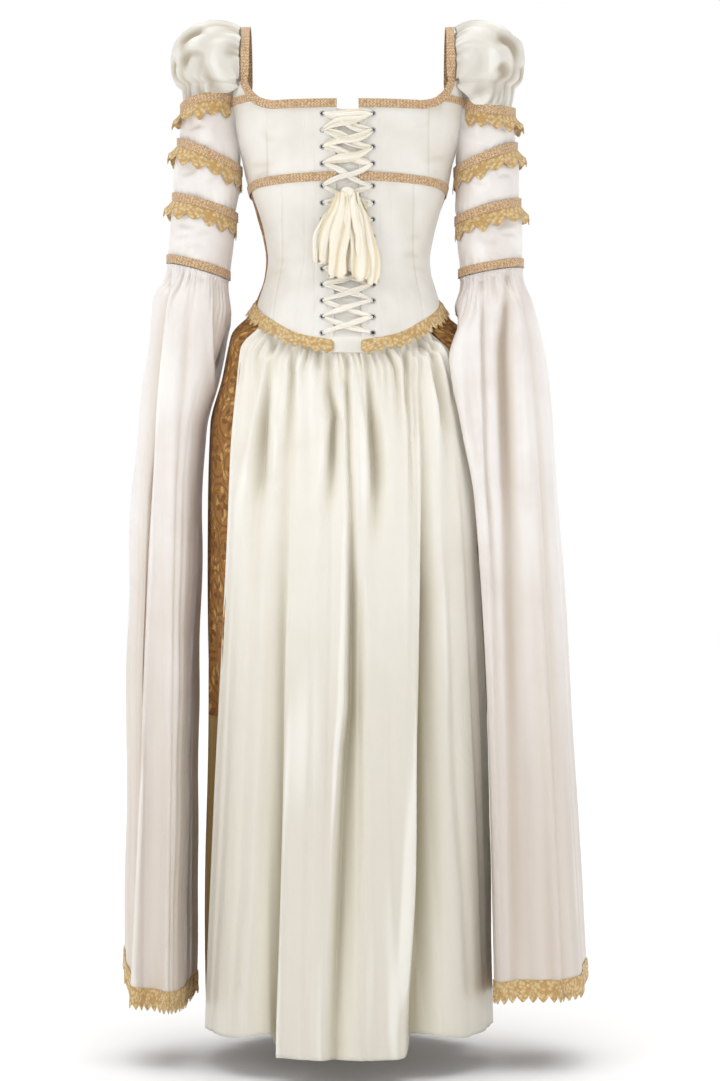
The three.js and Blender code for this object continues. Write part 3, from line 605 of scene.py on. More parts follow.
def brocade(name):
    """Gold brocade: scrolled leaves and flower heads woven in two browns, crushed by wear, with painted shade
    deep in its folds.
    """
    paint = Paint(name, {"Sheen Weight": 0.04, "Sheen Roughness": 0.5, "Specular IOR Level": 0.3})
    u, v = paint.flat()
    bent = paint.noise(paint.vector(u * 45, v * 45), 1.0, 2.0, 0.5) - 0.5
    u, v = u + bent * 0.008, v + bent * 0.006
    shift = (v / 0.062).apply("FLOOR").apply("MODULO", 2.0).size() * 0.025
    x, y = (u + shift).wrap(0.05) - 0.025, v.wrap(0.062) - 0.031
    far = (x * x + y * y).apply("SQRT")
    turn = y.apply("ARCTAN2", x)
    petal = 0.0125 + 0.006 * (turn * 5 + far * 120).sine()
    flower = (far - petal).step(-0.0015, 0.0015, 1.0, 0.0)
    heart = (far - 0.005).step(-0.001, 0.001, 1.0, 0.0)
    scroll = (far * 620 - turn * 2).sine().step(0.15, 0.6) * far.step(0.018, 0.023)
    leaf = paint.cells(paint.vector(u * 1.0, v * 0.62), 88.0).step(0.3, 0.44, 1.0, 0.0)
    dark = (flower * (1 - heart)).apply("MAXIMUM", scroll * 0.8)
    crush = paint.noise(paint.vector(u * 120, v * 90), 1.0, 4.0, 0.65, 1.5)
    colour = paint.blend(leaf * 0.85, tone("A3733A"), tone("D3A761"))
    colour = paint.blend(dark * 0.8, colour, tone("75481B"))
    colour = paint.blend(crush.step(0.5, 0.75, 0.0, 0.6), colour, tone("70491F"))
    # Painted shade: darker brown deep in the folds, by the fold depth on the mesh
    colour = paint.blend(paint.fold().step(3.0, 22.0, 0.0, 0.6), colour, tone("4A2E15"))
    paint.feed("Base Color", colour)
    paint.feed("Roughness", dark.step(0.0, 1.0, 0.62, 0.42))
    thread = (u * 4400).sine() * 0.06 + (v * 3600).sine() * 0.06
    paint.bump(dark * 0.5 + leaf * 0.25 + crush * 1.6 + thread, 0.0012)
    return paint.material


def braid(name):
    """Woven braid: rows of plaited chevrons along its length."""
    paint = Paint(name, {"Specular IOR Level": 0.3, "Sheen Weight": 0.25})
    u, v = paint.flat()
    lane = u.wrap(0.004) - 0.002
    plait = ((v * 1350) + lane.size() * 1600).sine()
    ridge = lane.size().step(0.0007, 0.002, 1.0, 0.0)
    speck = paint.noise(paint.spot(), 420.0, 3.0, 0.65)
    # Painted highlight and shade: each plait is lighter where it rises and darker in its dips, which draws
    # the chevrons
    colour = paint.blend(plait.step(-0.8, 0.8), tone("C69D70"), tone("E8CEAC"))
    # Painted highlight along the crown of each lane
    colour = paint.blend(ridge * 0.35, colour, tone("E6CBA8"))
    colour = paint.blend(speck.step(0.44, 0.62, 0.0, 0.8), colour, tone("B08456"))
    paint.feed("Base Color", colour)
    paint.feed("Roughness", plait.step(-1.0, 1.0, 0.8, 0.6))
    paint.bump(plait * 0.9 + ridge * 0.8 + speck * 0.7, 0.0004)
    return paint.material


def lace(name):
    """Corded lace: raised leaves over an open net with small holes."""
    paint = Paint(name, {"Specular IOR Level": 0.35, "Sheen Weight": 0.2})
    u, v = paint.flat()
    place = paint.vector(u, v)
    leaf = paint.cells(place, 210.0)
    rib = paint.cells(place, 420.0, "DISTANCE_TO_EDGE")
    speck = paint.noise(place, 700.0, 3.0, 0.6)
    # Painted highlight and shade: lighter over the raised middle of each leaf, darker towards its sunk edge
    colour = paint.blend(leaf.step(0.2, 0.75), tone("F0D7A2"), tone("D0A668"))
    colour = paint.blend(speck.step(0.5, 0.74, 0.0, 0.65), colour, tone("AD8148"))
    paint.feed("Base Color", colour)
    paint.feed("Roughness", speck.step(0.2, 0.8, 0.55, 0.8))
    hole = paint.cells(place, 330.0).step(0.1, 0.17)
    paint.feed("Alpha", hole.apply("MAXIMUM", v.step(0.0, -0.004, 1.0, 0.0)))
    paint.bump(leaf.step(0.1, 0.7, 1.0, 0.0) + rib.step(0.0, 0.12, 0.0, 0.5) + speck * 0.5, 0.0009)
    return paint.material


def plain(name, colour, metal=0.0):
    paint = Paint(name, {"Metallic": metal})
    speck = paint.noise(paint.spot(), 240.0, 2.0)
    paint.feed("Base Color", paint.blend(speck.step(0.3, 0.7, 0.0, 0.35), tone(colour), tone("4A4038")))
    paint.feed("Roughness", speck.step(0.2, 0.8, 0.22, 0.4))
    return paint.material


# Each satin: its own tone and a mottled tone, then the painted shade of shallow and deep folds, and for some
# a painted shade towards the bottom
BODICE_SATIN = satin("bodice satin", "EEEBE4", "E1DCD2", "DFD8C9", "C9BDA4", 0.7, 3.5, wrinkle=0.34)
SLEEVE_SATIN = satin("sleeve satin", "F1ECE8", "E8E0DA", "E2D8CD", "B9A78F", 3.0, 22.0, fall="D3C9C0",
                     fall_from=-0.66)
# A darker copy of the sleeve satin for the puffs: painted shade
PUFF_SATIN_SHADED = satin("puff satin", "E2DED4", "D6D1C7", "CCC4B6", "A89A80", 1.6, 10.0)
SKIRT_SATIN = satin("skirt satin", "F4F0E7", "ECE7DA", "E6E0D0", "A39A7C", 3.0, 34.0, fall="DAD5C8")
GOLD_SATIN = satin("gold satin", "B39560", "9F8350", "9A7E4A", "6A5430", 3.0, 20.0, rough=0.36)
BROCADE = brocade("gold brocade")
BRAID = braid("woven braid")
LACE = lace("gold lace")
LACING = satin("lacing satin", "F5F0E5", "EEE7D8", "E6DCC0", "CDBE9C", 0.8, 3.6, wrinkle=0.16)
RIBBON = satin("ribbon satin", "F9F2E3", "F3EBD6", "EEE1C2", "D8C598", 1.0, 4.8, wrinkle=0.18)
NICKEL = plain("nickel", "C9C9CC", 1.0)
# Near black for the discs inside the eyelets: painted shade of their holes
HOLE_SHADE = plain("eyelet hole", "2A211B")


def bodice_grid(start, stop, columns, top, bottom, rows):
    share, t = np.meshgrid(np.linspace(0, 1, columns), np.linspace(0, 1, rows))
    degrees = mix(start(t), stop, share)
    z = mix(top(degrees), bottom(degrees), t)
    return degrees, z, t


def bodice():
    for name, side in SIDES.items():
        for part, stop, rows in (("upper", 90.0, 84), ("lower", 76.0 if side < 0 else 87.0, 130)):
            upper = part == "upper"
            begin, finish = (NECK_Z, UNDERBUST_Z) if upper else (UNDERBUST_Z, POINT_Z)
            degrees, z, t = bodice_grid(
                lambda t: gap_degrees(mix(begin, finish, t)), stop, 110,
                top_edge if upper else underbust, underbust if upper else lower_edge, rows)
            base = bodice_point(side * degrees, z)
            x = np.abs(base[..., 0])
            bow = 13 * ease((-320 - z) / 110)
            relief = 0.7 * swells(x, z, 1.0, 60, 3 + side + 5 * upper)
            for seam, depth in ((60, 0.5), (114 if upper else 93, 1.0)):
                relief += depth * np.exp(-((x - seam - bow) / 1.2) ** 2)
            placket = np.exp(-((x - 44 - 3 * t) / 0.9) ** 2) + 0.8 * np.exp(-((x - 27) / 0.8) ** 2)
            relief += 0.6 * placket  # stitched lines on each side of the eyelets
            relief += gathers(x, np.abs(z - underbust(degrees)), 9, (8, 26), 0.5, 11 + side)
            relief += gathers(x, top_edge(degrees) - z, 12, (20, 60), 0.45, 15 + side) * upper
            relief += creases(base[..., 0], z, BODICE_CREASES[name])
            cloth(f"bodice back {part} {name}", base, relief, BODICE_SATIN, "ivory_satin",
                  [f"bodice_back_{part}_{name}"])
    degrees, z, t = bodice_grid(lambda t: 90.0 + 0 * t, 270.0, 180, top_edge, underbust, 80)
    base = bodice_point(degrees, z)
    relief = 0.6 * swells(base[..., 0], z, 1.0, 60, 8)
    relief += gathers(base[..., 0], z - underbust(degrees), 9, (8, 24), 0.4, 9)
    cloth("bodice front upper", base, relief, BODICE_SATIN, "ivory_satin", ["bodice_front_upper"])
    degrees, z, t = bodice_grid(lambda t: 87.0 + 0 * t, 284.0, 190, underbust, lower_edge, 110)
    base = bodice_point(degrees, z)
    relief = 0.7 * swells(base[..., 0], z, 1.0, 50, 18)
    for seam in (-92, -46, 46, 92):
        relief += 0.7 * np.exp(-((base[..., 0] - seam) / 1.2) ** 2)
    cloth("bodice front lower", base, relief, BROCADE, "gold_brocade", ["bodice_front_lower"])
    share, t = np.meshgrid(np.linspace(-11, 11, 60), np.linspace(0, 1, 170))
    z = mix(-131, -473, t)
    base = bodice_point(share, z)
    relief = 0.5 * swells(base[..., 0], z, 1.0, 30, 4)
    relief += creases(base[..., 0], z, MODESTY_CREASES)
    cloth("modesty panel", base, relief, BODICE_SATIN, "ivory_satin", ["modesty_panel"],
          sunk=3.2 - 5.2 * ease((-438 - z) / 22))


BODICE_CREASES = {
    "left": [
        (-150, -196, -98, -206, 0.9, 5), (-142, -216, -104, -214, 0.7, 4), (-118, -300, -84, -318, 0.8, 5),
        (-114, -330, -72, -338, 1.0, 5), (-116, -352, -80, -350, 0.7, 4), (-128, -150, -96, -176, 0.8, 6),
        (-60, -134, -48, -172, 0.6, 5), (-84, -400, -64, -372, 0.6, 5), (-52, -420, -40, -380, 0.6, 4),
    ],
    "right": [
        (150, -192, 104, -208, 0.9, 5), (140, -220, 100, -216, 0.8, 4), (118, -306, 80, -314, 0.8, 5),
        (113, -334, 70, -336, 1.0, 5), (117, -356, 86, -350, 0.7, 4), (126, -146, 88, -168, 0.8, 6),
        (66, -136, 50, -180, 0.6, 5), (88, -404, 70, -370, 0.6, 5), (54, -424, 44, -384, 0.6, 4),
    ],
}
MODESTY_CREASES = [
    (-16, -150, 14, -164, 0.9, 3), (12, -196, -14, -214, 1.0, 3), (-10, -236, 15, -226, 0.8, 3),
    (-15, -392, 12, -404, 0.9, 3), (14, -420, -12, -430, 0.8, 3),
]

# Folds of the skirt's back, from left to right
BACK_FOLDS = [
    [(-600, -88, 3, 10, 8), (-750, -92, 8, 12, 8), (-870, -95, 15, 13, 7), (-1000, -97, 22, 14, 7),
     (-1200, -101, 30, 15, 6), (-1400, -106, 34, 17, 6)],
    [(-468, -105, 5, 5, 6), (-497, -111, 8, 5, 6), (-545, -117, 16, 6, 8), (-590, -121, 20, 8, 10),
     (-640, -123, 18, 10, 12), (-700, -126, 8, 14, 16), (-900, -130, 4, 20, 20), (-1100, -140, 3, 25, 25)],
    [(-470, -78, 5, 4, 5), (-520, -80, 9, 4, 6), (-565, -81, 8, 5, 7), (-650, -84, 3, 8, 10),
     (-760, -88, 2, 10, 12)],
    [(-470, -27, 6, 4, 4), (-525, -25, 14, 5, 5), (-565, -19, 18, 6, 6), (-600, -21, 17, 6, 8),
     (-650, -23, 12, 7, 10), (-700, -25, 4, 9, 12), (-800, -28, 1, 10, 12)],
    [(-470, 0, 4, 3, 3), (-520, 0, 7, 3, 3), (-600, 2, 7, 3, 4), (-680, 5, 8, 4, 5), (-750, 6, 14, 5, 6),
     (-814, 7, 20, 6, 9), (-950, 6, 25, 7, 15), (-1020, -1, 27, 7, 19), (-1226, -11, 26, 8, 22),
     (-1400, -18, 21, 8, 20)],
    [(-470, 25, 6, 4, 4), (-530, 31, 12, 5, 6), (-590, 35, 18, 6, 9), (-640, 38, 17, 7, 10),
     (-700, 39, 9, 8, 12), (-760, 40, 3, 10, 14), (-900, 42, 1, 12, 14)],
    [(-470, 82, 6, 4, 5), (-525, 84, 10, 4, 6), (-575, 88, 8, 4, 6), (-640, 89, 6, 4, 7),
     (-750, 91, 4, 5, 8), (-900, 92, 3, 6, 8)],
    [(-480, 94, 5, 4, 5), (-560, 97, 7, 4, 5), (-620, 98, 4, 4, 5)],
    [(-500, 104, 6, 4, 6), (-600, 106, 9, 4, 8), (-680, 107, 14, 4, 9), (-760, 108, 22, 5, 10),
     (-814, 109, 30, 6, 11), (-950, 109, 36, 7, 13), (-1020, 109, 38, 8, 14), (-1185, 110, 38, 11, 17),
     (-1400, 104, 34, 20, 22)],
    [(-480, 122, 5, 5, 5), (-510, 127, 11, 6, 7), (-550, 136, 11, 7, 8), (-600, 141, 5, 9, 10),
     (-700, 146, 2, 12, 12)],
]


def skirt_hem(degrees):
    return mix(*HEM, np.maximum(np.cos(np.radians(degrees)), 0) ** 2)


def skirt_grid(start, stop, columns, levels):
    share, t = np.meshgrid(np.linspace(0, 1, columns), levels)
    degrees = mix(start(-600), stop(-600), share)
    for _ in range(3):
        z = mix(skirt_top(degrees), skirt_hem(degrees), t)
        degrees = mix(start(z), stop(z), share)
    return degrees, mix(skirt_top(degrees), skirt_hem(degrees), t), share, t


def skirt():
    lap = 1.2
    levels = np.linspace(0, 1, 200) ** 1.15
    degrees, z, share, t = skirt_grid(
        lambda z: -seam_degrees(-1, z) - lap, lambda z: seam_degrees(1, z) + lap, 370, levels)
    base = skirt_base(degrees, z)
    x = base[..., 0]
    inside = ease(np.minimum(share, 1 - share) / 0.045)
    down = skirt_top(degrees) - z
    relief = mix(1.1, 0.8, t) * valleys(x, z, BACK_FOLDS) * inside * ease(down / 14)
    top = lengths(base[:1], 1)
    relief += gathers(top, down, 7.5, (40, 170), 4.8, 21) * ease(down / 3)
    relief += gathers(top, down, 15, (130, 380), 5.4, 22) * ease(down / 8)
    relief += drapes(top, t, 15, 3.0, 5, 0.24) * inside
    relief += 0.5 * np.exp(-(((1 - t) * 960 - 15) / 1.2) ** 2)
    relief += 1.5 * swells(x, z * 0.4, 1.0, 90, 6) * ease(down / 60)
    relief -= 1.4 * (1 - ease(np.minimum(share, 1 - share) / 0.02))
    z_hem = -1405 - 28 * (ease((x + 116) / 12) - ease((x - 84) / 16)) - 14 * ease((np.abs(x) - 105) / 70)
    base[..., 2] += (z_hem - skirt_hem(degrees)) * ease((t - 0.5) / 0.5)
    cloth("skirt back", base, relief, SKIRT_SATIN, "ivory_satin", ["skirt_back"])
    for name, low, high, rows, node in (("skirt front", 0, BROCADE_SHARE, 110, "skirt_front"),
                                        ("skirt front lower", BROCADE_SHARE, 1, 80, "skirt_front_lower")):
        degrees, z, share, t = skirt_grid(lambda z: seam_degrees(1, z), lambda z: 360 - seam_degrees(-1, z),
                                          260, np.linspace(low, high, rows))
        base = skirt_base(degrees, z)
        down = skirt_top(degrees) - z
        width = lengths(skirt_base(*(a[:1] for a in skirt_grid(
            lambda z: seam_degrees(1, z), lambda z: 360 - seam_degrees(-1, z), 260, [0.3])[:2])), 1)
        relief = drapes(width, t, 13, 15, 31) * ease(np.minimum(share, 1 - share) / 0.06 + 0.25)
        relief += gathers(width, down, 9, (25, 90), 2.2, 33) * ease(down / 3)
        relief += 1.4 * swells(width, z * 0.4, 1.0, 80, 36) * ease(down / 60) + 0.5
        gold = "front lower" in name
        material, slot = (GOLD_SATIN, "gold_satin") if gold else (BROCADE, "gold_brocade")
        cloth(name, base, relief, material, slot, [node])


SLEEVE_CREASES = {
    "left": [
        (-236, -128, -196, -150, 2.2, 5), (-230, -150, -206, -140, 1.8, 4), (-180, -176, -214, -190, 2.0, 5),
        (-242, -196, -204, -206, 2.4, 5), (-240, -212, -212, -206, 1.8, 4), (-176, -214, -200, -232, 1.6, 4),
        (-246, -276, -208, -290, 2.2, 5), (-188, -292, -222, -308, 2.0, 5), (-250, -300, -216, -296, 1.6, 4),
        (-196, -316, -238, -322, 1.8, 5), (-172, -130, -188, -166, 1.6, 5),
    ],
    "right": [
        (234, -130, 196, -146, 2.2, 5), (228, -156, 204, -150, 1.8, 4), (176, -172, 214, -184, 2.0, 5),
        (240, -202, 206, -200, 2.2, 5), (236, -216, 208, -222, 1.8, 4), (172, -220, 200, -230, 1.6, 4),
        (242, -282, 204, -296, 2.2, 5), (180, -300, 218, -310, 2.0, 5), (244, -304, 214, -300, 1.6, 4),
        (190, -320, 232, -326, 1.8, 5), (170, -134, 184, -170, 1.6, 5),
    ],
}
BELL_FOLDS = {
    "left": [
        [(-383, -256, 4, 7, 4), (-393, -259, 6, 10, 4), (-470, -267, 8, 14, 4), (-598, -275, 10, 16, 4),
         (-757, -282, 11, 18, 4), (-955, -289, 11, 18, 4), (-1342, -308, 8, 14, 5)],
        [(-383, -184, 3, 4, 6), (-430, -183, 6, 4, 9), (-565, -181, 8, 4, 10), (-700, -190, 5, 5, 12),
         (-1000, -196, 4, 6, 12), (-1340, -200, 3, 8, 12)],
        [(-383, -221, 2, 4, 5), (-450, -224, 4, 6, 9), (-600, -230, 4, 9, 12), (-900, -236, 3, 12, 16),
         (-1342, -240, 4, 14, 18)],
        [(-500, -250, 0, 8, 9), (-700, -254, 3, 10, 12), (-1000, -262, 5, 12, 12), (-1342, -270, 6, 14, 14)],
        [(-600, -208, 1, 8, 9), (-800, -213, 3, 9, 10), (-1100, -216, 4, 10, 12), (-1342, -218, 4, 12, 12)],
    ],
    "right": [
        [(-384, 226, 4, 5, 6), (-414, 223, 9, 8, 9), (-468, 218, 12, 9, 11), (-565, 219, 12, 9, 12),
         (-750, 225, 9, 9, 13), (-1000, 232, 8, 9, 14), (-1304, 238, 7, 10, 14)],
        [(-384, 188, 3, 3, 4), (-420, 188, 6, 3, 5), (-560, 190, 6, 3, 7), (-800, 204, 4, 5, 9),
         (-1340, 222, 3, 7, 10)],
        [(-384, 250, 2, 5, 4), (-480, 262, 5, 8, 6), (-620, 272, 6, 11, 7), (-850, 284, 6, 14, 8),
         (-1340, 306, 8, 18, 9)],
        [(-470, 166, 1, 5, 6), (-560, 172, 4, 6, 7), (-700, 198, 2, 6, 8), (-1000, 214, 1, 8, 8)],
        [(-600, 252, 1, 8, 8), (-900, 262, 4, 12, 12), (-1340, 276, 6, 14, 14)],
    ],
}


def sleeves():
    for name, side in SIDES.items():
        degrees, t = np.meshgrid(np.linspace(0, 360, 131)[:-1], np.linspace(0, 1, 124))
        bottom = around(ELBOW[name], degrees) - BRAID_WIDTH / 2
        top = np.minimum(SLEEVE_TOP(fold_angle(degrees)), around(ARM_BANDS[name][0], degrees) + 3)
        z = mix(top, bottom, t)
        base = sleeve_point(name, degrees, z)
        run = degrees * 0.75
        relief = 1.3 * swells(base[..., 0], z, 1.0, 40, 12 + side)
        relief += creases(base[..., 0], z, SLEEVE_CREASES[name])
        for number, level in enumerate(ARM_BANDS[name]):
            middle = around(level, degrees)
            near = np.abs(z - middle) - 5
            relief += 1.3 * np.exp(-(near / 6) ** 2)
            relief += gathers(run, np.maximum(middle - 6 - z, 0), 9, (14, 34), 1.5, 40 + number + side) \
                * (z < middle)
            relief += gathers(run, np.maximum(z - middle - 6, 0), 9, (10, 26), 1.4, 50 + number + side) \
                * (z > middle) * (number > 0)
        relief += gathers(run, np.maximum(z - bottom - 9, 0), 8, (10, 30), 1.5, 60 + side)
        cloth(f"upper sleeve {name}", base, relief, SLEEVE_SATIN, "ivory_satin", [f"sleeve_upper_{name}"],
              (side * SLEEVE_X, 0), closed=True, shade=1.6)
        bells(name, side)
        puffs(name, side)


def bell_relief(name, side, degrees, t, base):
    x, z = base[..., 0], base[..., 2]
    back = ease(np.sin(np.radians(degrees)) * 3 + 0.2)
    down = bell_top(name, degrees) - z
    run = degrees * 1.5
    relief = 1.35 * valleys(x, z, BELL_FOLDS[name]) * back * ease(down / 12)
    relief += drapes(run * 1.6, t, 9, 12, 70 + side) * (1 - back)
    relief += drapes(run * 1.6, t, 22, 2.4, 90 + side, 0.24)
    relief += gathers(run, down, 8.5, (26, 130), 4.2, 72 + side) * ease(down / 3)
    return relief + 1.6 * swells(x, z * 0.4, 1.0, 60, 74 + side) * ease(down / 60)


def bells(name, side):
    degrees, t = np.meshgrid(np.linspace(0, 360, 249)[:-1], np.linspace(0, 1, 160) ** 1.2)
    base = bell_point(name, degrees, t)
    relief = bell_relief(name, side, degrees, t, base)
    cloth(f"bell sleeve {name}", base, relief, SLEEVE_SATIN, "ivory_satin", [f"bell_sleeve_{name}"],
          (side * BELL_X, 0), closed=True, turn=4)
    bell_lace(name, side)


def puffs(name, side):
    s, t = np.meshgrid(np.linspace(0.01, 0.99, 130), np.linspace(0, 1, 96))
    a = mix(s, 0.5 - 0.5 * np.cos(s * np.pi), 0.7)
    swell = np.sin(a * np.pi)
    middle = -101.5 if side < 0 else -118.5
    foot = mix(-102 - STRAP_BASE_Z, mix(middle, ARM_BANDS[name][0][0] + 5, swell ** 3) - STRAP_BASE_Z,
               ease(swell / 0.3))
    last = np.degrees(np.arccos(np.clip(foot / mix(11, 87, swell ** 0.75), -0.97, 0)))
    base = puff_point(name, a, t * last)
    run = a * 180
    fall = (1 - t) * 95
    relief = gathers(run, fall, 8.5, (22, 62), 3.8, 80 + side) * ease(fall / 3)
    relief += gathers(run, t * 95, 8.5, (14, 44), 3.0, 84 + side)
    relief += 2.6 * creases(a * 100, t * 100, PUFF_CREASES[name])
    relief += 2.4 * swells(run, t * 90, 1.0, 30, 86 + side)
    cloth(f"puff {name}", base, relief, PUFF_SATIN_SHADED, "ivory_satin", [f"puff_{name}"],
          (side * 152, 0, STRAP_BASE_Z), shade=1.35)


PUFF_CREASES = {
    "left": [
        (24, 30, 34, 62, 4.0, 5), (40, 22, 46, 56, 3.0, 4), (14, 46, 24, 76, 3.0, 4),
        (30, 66, 44, 82, 2.4, 4), (58, 24, 62, 60, 3.4, 5), (72, 34, 70, 70, 3.2, 4),
        (84, 44, 80, 80, 2.8, 4), (50, 60, 54, 84, 2.4, 4),
    ],
    "right": [
        (22, 34, 32, 64, 3.8, 5), (38, 18, 44, 52, 3.2, 4), (12, 50, 20, 78, 3.0, 4),
        (32, 64, 42, 84, 2.4, 4), (56, 28, 64, 58, 3.4, 5), (70, 30, 72, 66, 3.2, 4),
        (86, 46, 82, 78, 2.8, 4), (48, 58, 52, 82, 2.4, 4),
    ],
}


def resample(places, step):
    """Points along a smooth curve through the places, about one step apart."""
    places = np.asarray(places, float)
    at = lengths(places, 0)
    fine = np.linspace(0, at[-1], max(int(at[-1] / step), 3))
    return np.stack([smooth(at, places[:, k])(fine) for k in range(places.shape[1])], -1)


def strip(name, places, facing, width, high, material, slot, nodes, columns=9, thick=1.0):
    """A band of a given width along a path, with `high` raising its face by place and width."""
    along = unit(np.gradient(places, axis=0))
    across = unit(np.cross(facing, along))
    face = np.cross(along, across)
    share = np.linspace(-0.5, 0.5, columns)
    wide = np.broadcast_to(width, len(places))[:, None] * share[None, :]
    run = np.broadcast_to(lengths(places, 0)[:, None], wide.shape)
    rise = high(run, share[None, :] + 0 * run)
    points = places[:, None] + across[:, None] * wide[..., None] + face[:, None] * rise[..., None]
    uv = np.stack([wide + 50, run], -1)
    inner = points - face[:, None] * thick
    points = np.concatenate([inner[:, 1:2], inner[:, :1], points, inner[:, -1:], inner[:, -2:-1]], axis=1)
    uv = np.concatenate([uv[:, 1:2], uv[:, :1], uv, uv[:, -1:], uv[:, -2:-1]], axis=1)
    flip = np.dot(np.cross(across[0], along[0]), face[0]) < 0
    # Painted shade: how far each point lies below the band's highest, which the ribbon satins darken
    fold = np.pad(rise.max() - rise, ((0, 0), (2, 2)), "edge")
    return build(name, points, uv, False, flip, material, slot, nodes, fold)


def ridges(run, share):
    return 1.5 + 0.55 * np.abs(np.sin(share * 3 * np.pi)) ** 0.7 + 0.12 * np.sin(run * 2.1)


def on_bodice(degrees, z):
    """Places on the bodice and the directions they face."""
    places = bodice_point(degrees, z)
    e = 0.05
    across = bodice_point(degrees + e, z) - bodice_point(degrees - e, z)
    along = bodice_point(degrees, z - e) - bodice_point(degrees, z + e)
    face = unit(np.cross(along, across))
    return places, face * np.sign(np.sum(face[..., :2] * places[..., :2], axis=-1))[..., None]


def braids():
    middle = NECK_Z - BRAID_WIDTH / 2 + 1
    corner = np.array([(113, -122), (125, -117), (135, -108), (141, -98), (STRAP_X, STRAP_BASE_Z)], float)
    turn = degrees_at(corner[:, 0], BODICE.side(corner[:, 1]))
    level = np.linspace(gap_degrees(middle), 34, 9)
    back = on_bodice(np.concatenate([level, turn]), np.concatenate([0 * level + middle, corner[:, 1]]))
    front = on_bodice(180 - np.concatenate([level, turn])[::-1],
                      np.concatenate([0 * level + middle, corner[:, 1]])[::-1])
    bow = np.linspace(0, np.pi, 17)[1:-1]
    y = mix(back[0][-1, 1], front[0][0, 1], (1 - np.cos(bow)) / 2)
    rise = STRAP_TOP_Z - STRAP_BASE_Z
    over = np.stack([0 * y + STRAP_X, y, STRAP_BASE_Z + rise * np.sin(bow) ** 0.85], -1)
    up = unit(np.stack([0 * y, -np.cos(bow) / STRAP_RUN, np.sin(bow) / rise], -1))
    centre = on_bodice(np.array([180.0]), np.array([middle]))
    half = np.concatenate([back[0], over, front[0][:-1], centre[0]])
    faces = np.concatenate([back[1], up, front[1][:-1], centre[1]])
    mirror = np.array([-1, 1, 1])
    places = np.concatenate([half, half[-2::-1] * mirror])
    faces = np.concatenate([faces, faces[-2::-1] * mirror])
    both = resample(np.concatenate([places, faces * 20], axis=1), 2.4)
    strip("neck braid", both[:, :3], both[:, 3:], BRAID_WIDTH, ridges, BRAID, "woven_braid",
          ["neck_braid"], 13)
    edge = gap_degrees(UNDERBUST_Z)
    degrees = np.linspace(edge, 360 - edge, 340)
    places, faces = on_bodice(degrees, underbust(degrees))
    strip("underbust braid", places, faces, BRAID_WIDTH, ridges, BRAID, "woven_braid",
          ["underbust_braid"], 13)
    for name, side in SIDES.items():
        reach = np.linspace(132, 166, 24)
        level = -110.5 - 2 * ease((reach - 132) / 34)
        places, faces = on_bodice(side * degrees_at(reach, BODICE.side(level)), level)
        strip(f"shoulder braid {name}", places, faces, BRAID_WIDTH - 1.5,
              lambda run, share: ridges(run, share) - 0.7, BRAID, "woven_braid", [], 13)
        degrees = np.linspace(0, 360, 150)
        places = sleeve_point(name, degrees, around(ELBOW[name], degrees))
        faces = level_from(side * (SLEEVE[name].outer(-340) + SLEEVE[name].inner(-340)) / 2, places)
        strip(f"elbow braid {name}", places, faces, BRAID_WIDTH, ridges, BRAID, "woven_braid",
              [f"elbow_braid_{name}"], 13)


def scallops(share, valley, tip, lobes=3, point=0.8):
    """Drop of a lace edge along one repeat: a pointed leaf with small lobes."""
    frac = share % 1
    leaf = (1 - np.abs(2 * frac - 1)) ** point
    return valley + (tip - valley) * leaf + 0.06 * tip * np.abs(np.sin(frac * np.pi * lobes * 2))


def lace_relief(share, down):
    """Raised veins that fan out over each leaf of the lace."""
    frac = share % 1 - 0.5
    fan = np.abs(np.sin(np.arctan2(frac, 0.25 + down) * 6))
    return -0.5 * fan * ease(down / 0.3) - 0.5 * np.exp(-((down - 0.93) / 0.08) ** 2)


def waist_lace():
    edge = gap_degrees(POINT_Z)
    repeats = 62
    columns = repeats * 12 + 1
    share = np.linspace(0, repeats, columns)
    degrees = mix(edge, 360 - edge, share / repeats)
    drop = scallops(share, 6.5, 13.5) + 1.2 * np.sin(share * 2.1)
    rows = np.linspace(0, 1, 14)[:, None]
    above = 8
    z = lower_edge(degrees) + above - rows * (above + drop)
    on = np.where((z > skirt_top(degrees))[..., None], bodice_point(degrees + 0 * z, z),
                  skirt_base(degrees + 0 * z, z))
    down = np.clip(((above + drop) * rows - above) / drop, 0, 1)
    lift = 1.3 + 2.9 * ease(rows / 0.45) + 0 * z
    relief = lace_relief(share, down + 0 * z) - lift
    uv = np.stack(np.broadcast_arrays(degrees * 2.3, z - lower_edge(degrees) - above), -1)
    cloth("waist lace", on, relief, LACE, "gold_lace", ["waist_lace"], thick=0.9, turn=1, uv=uv)


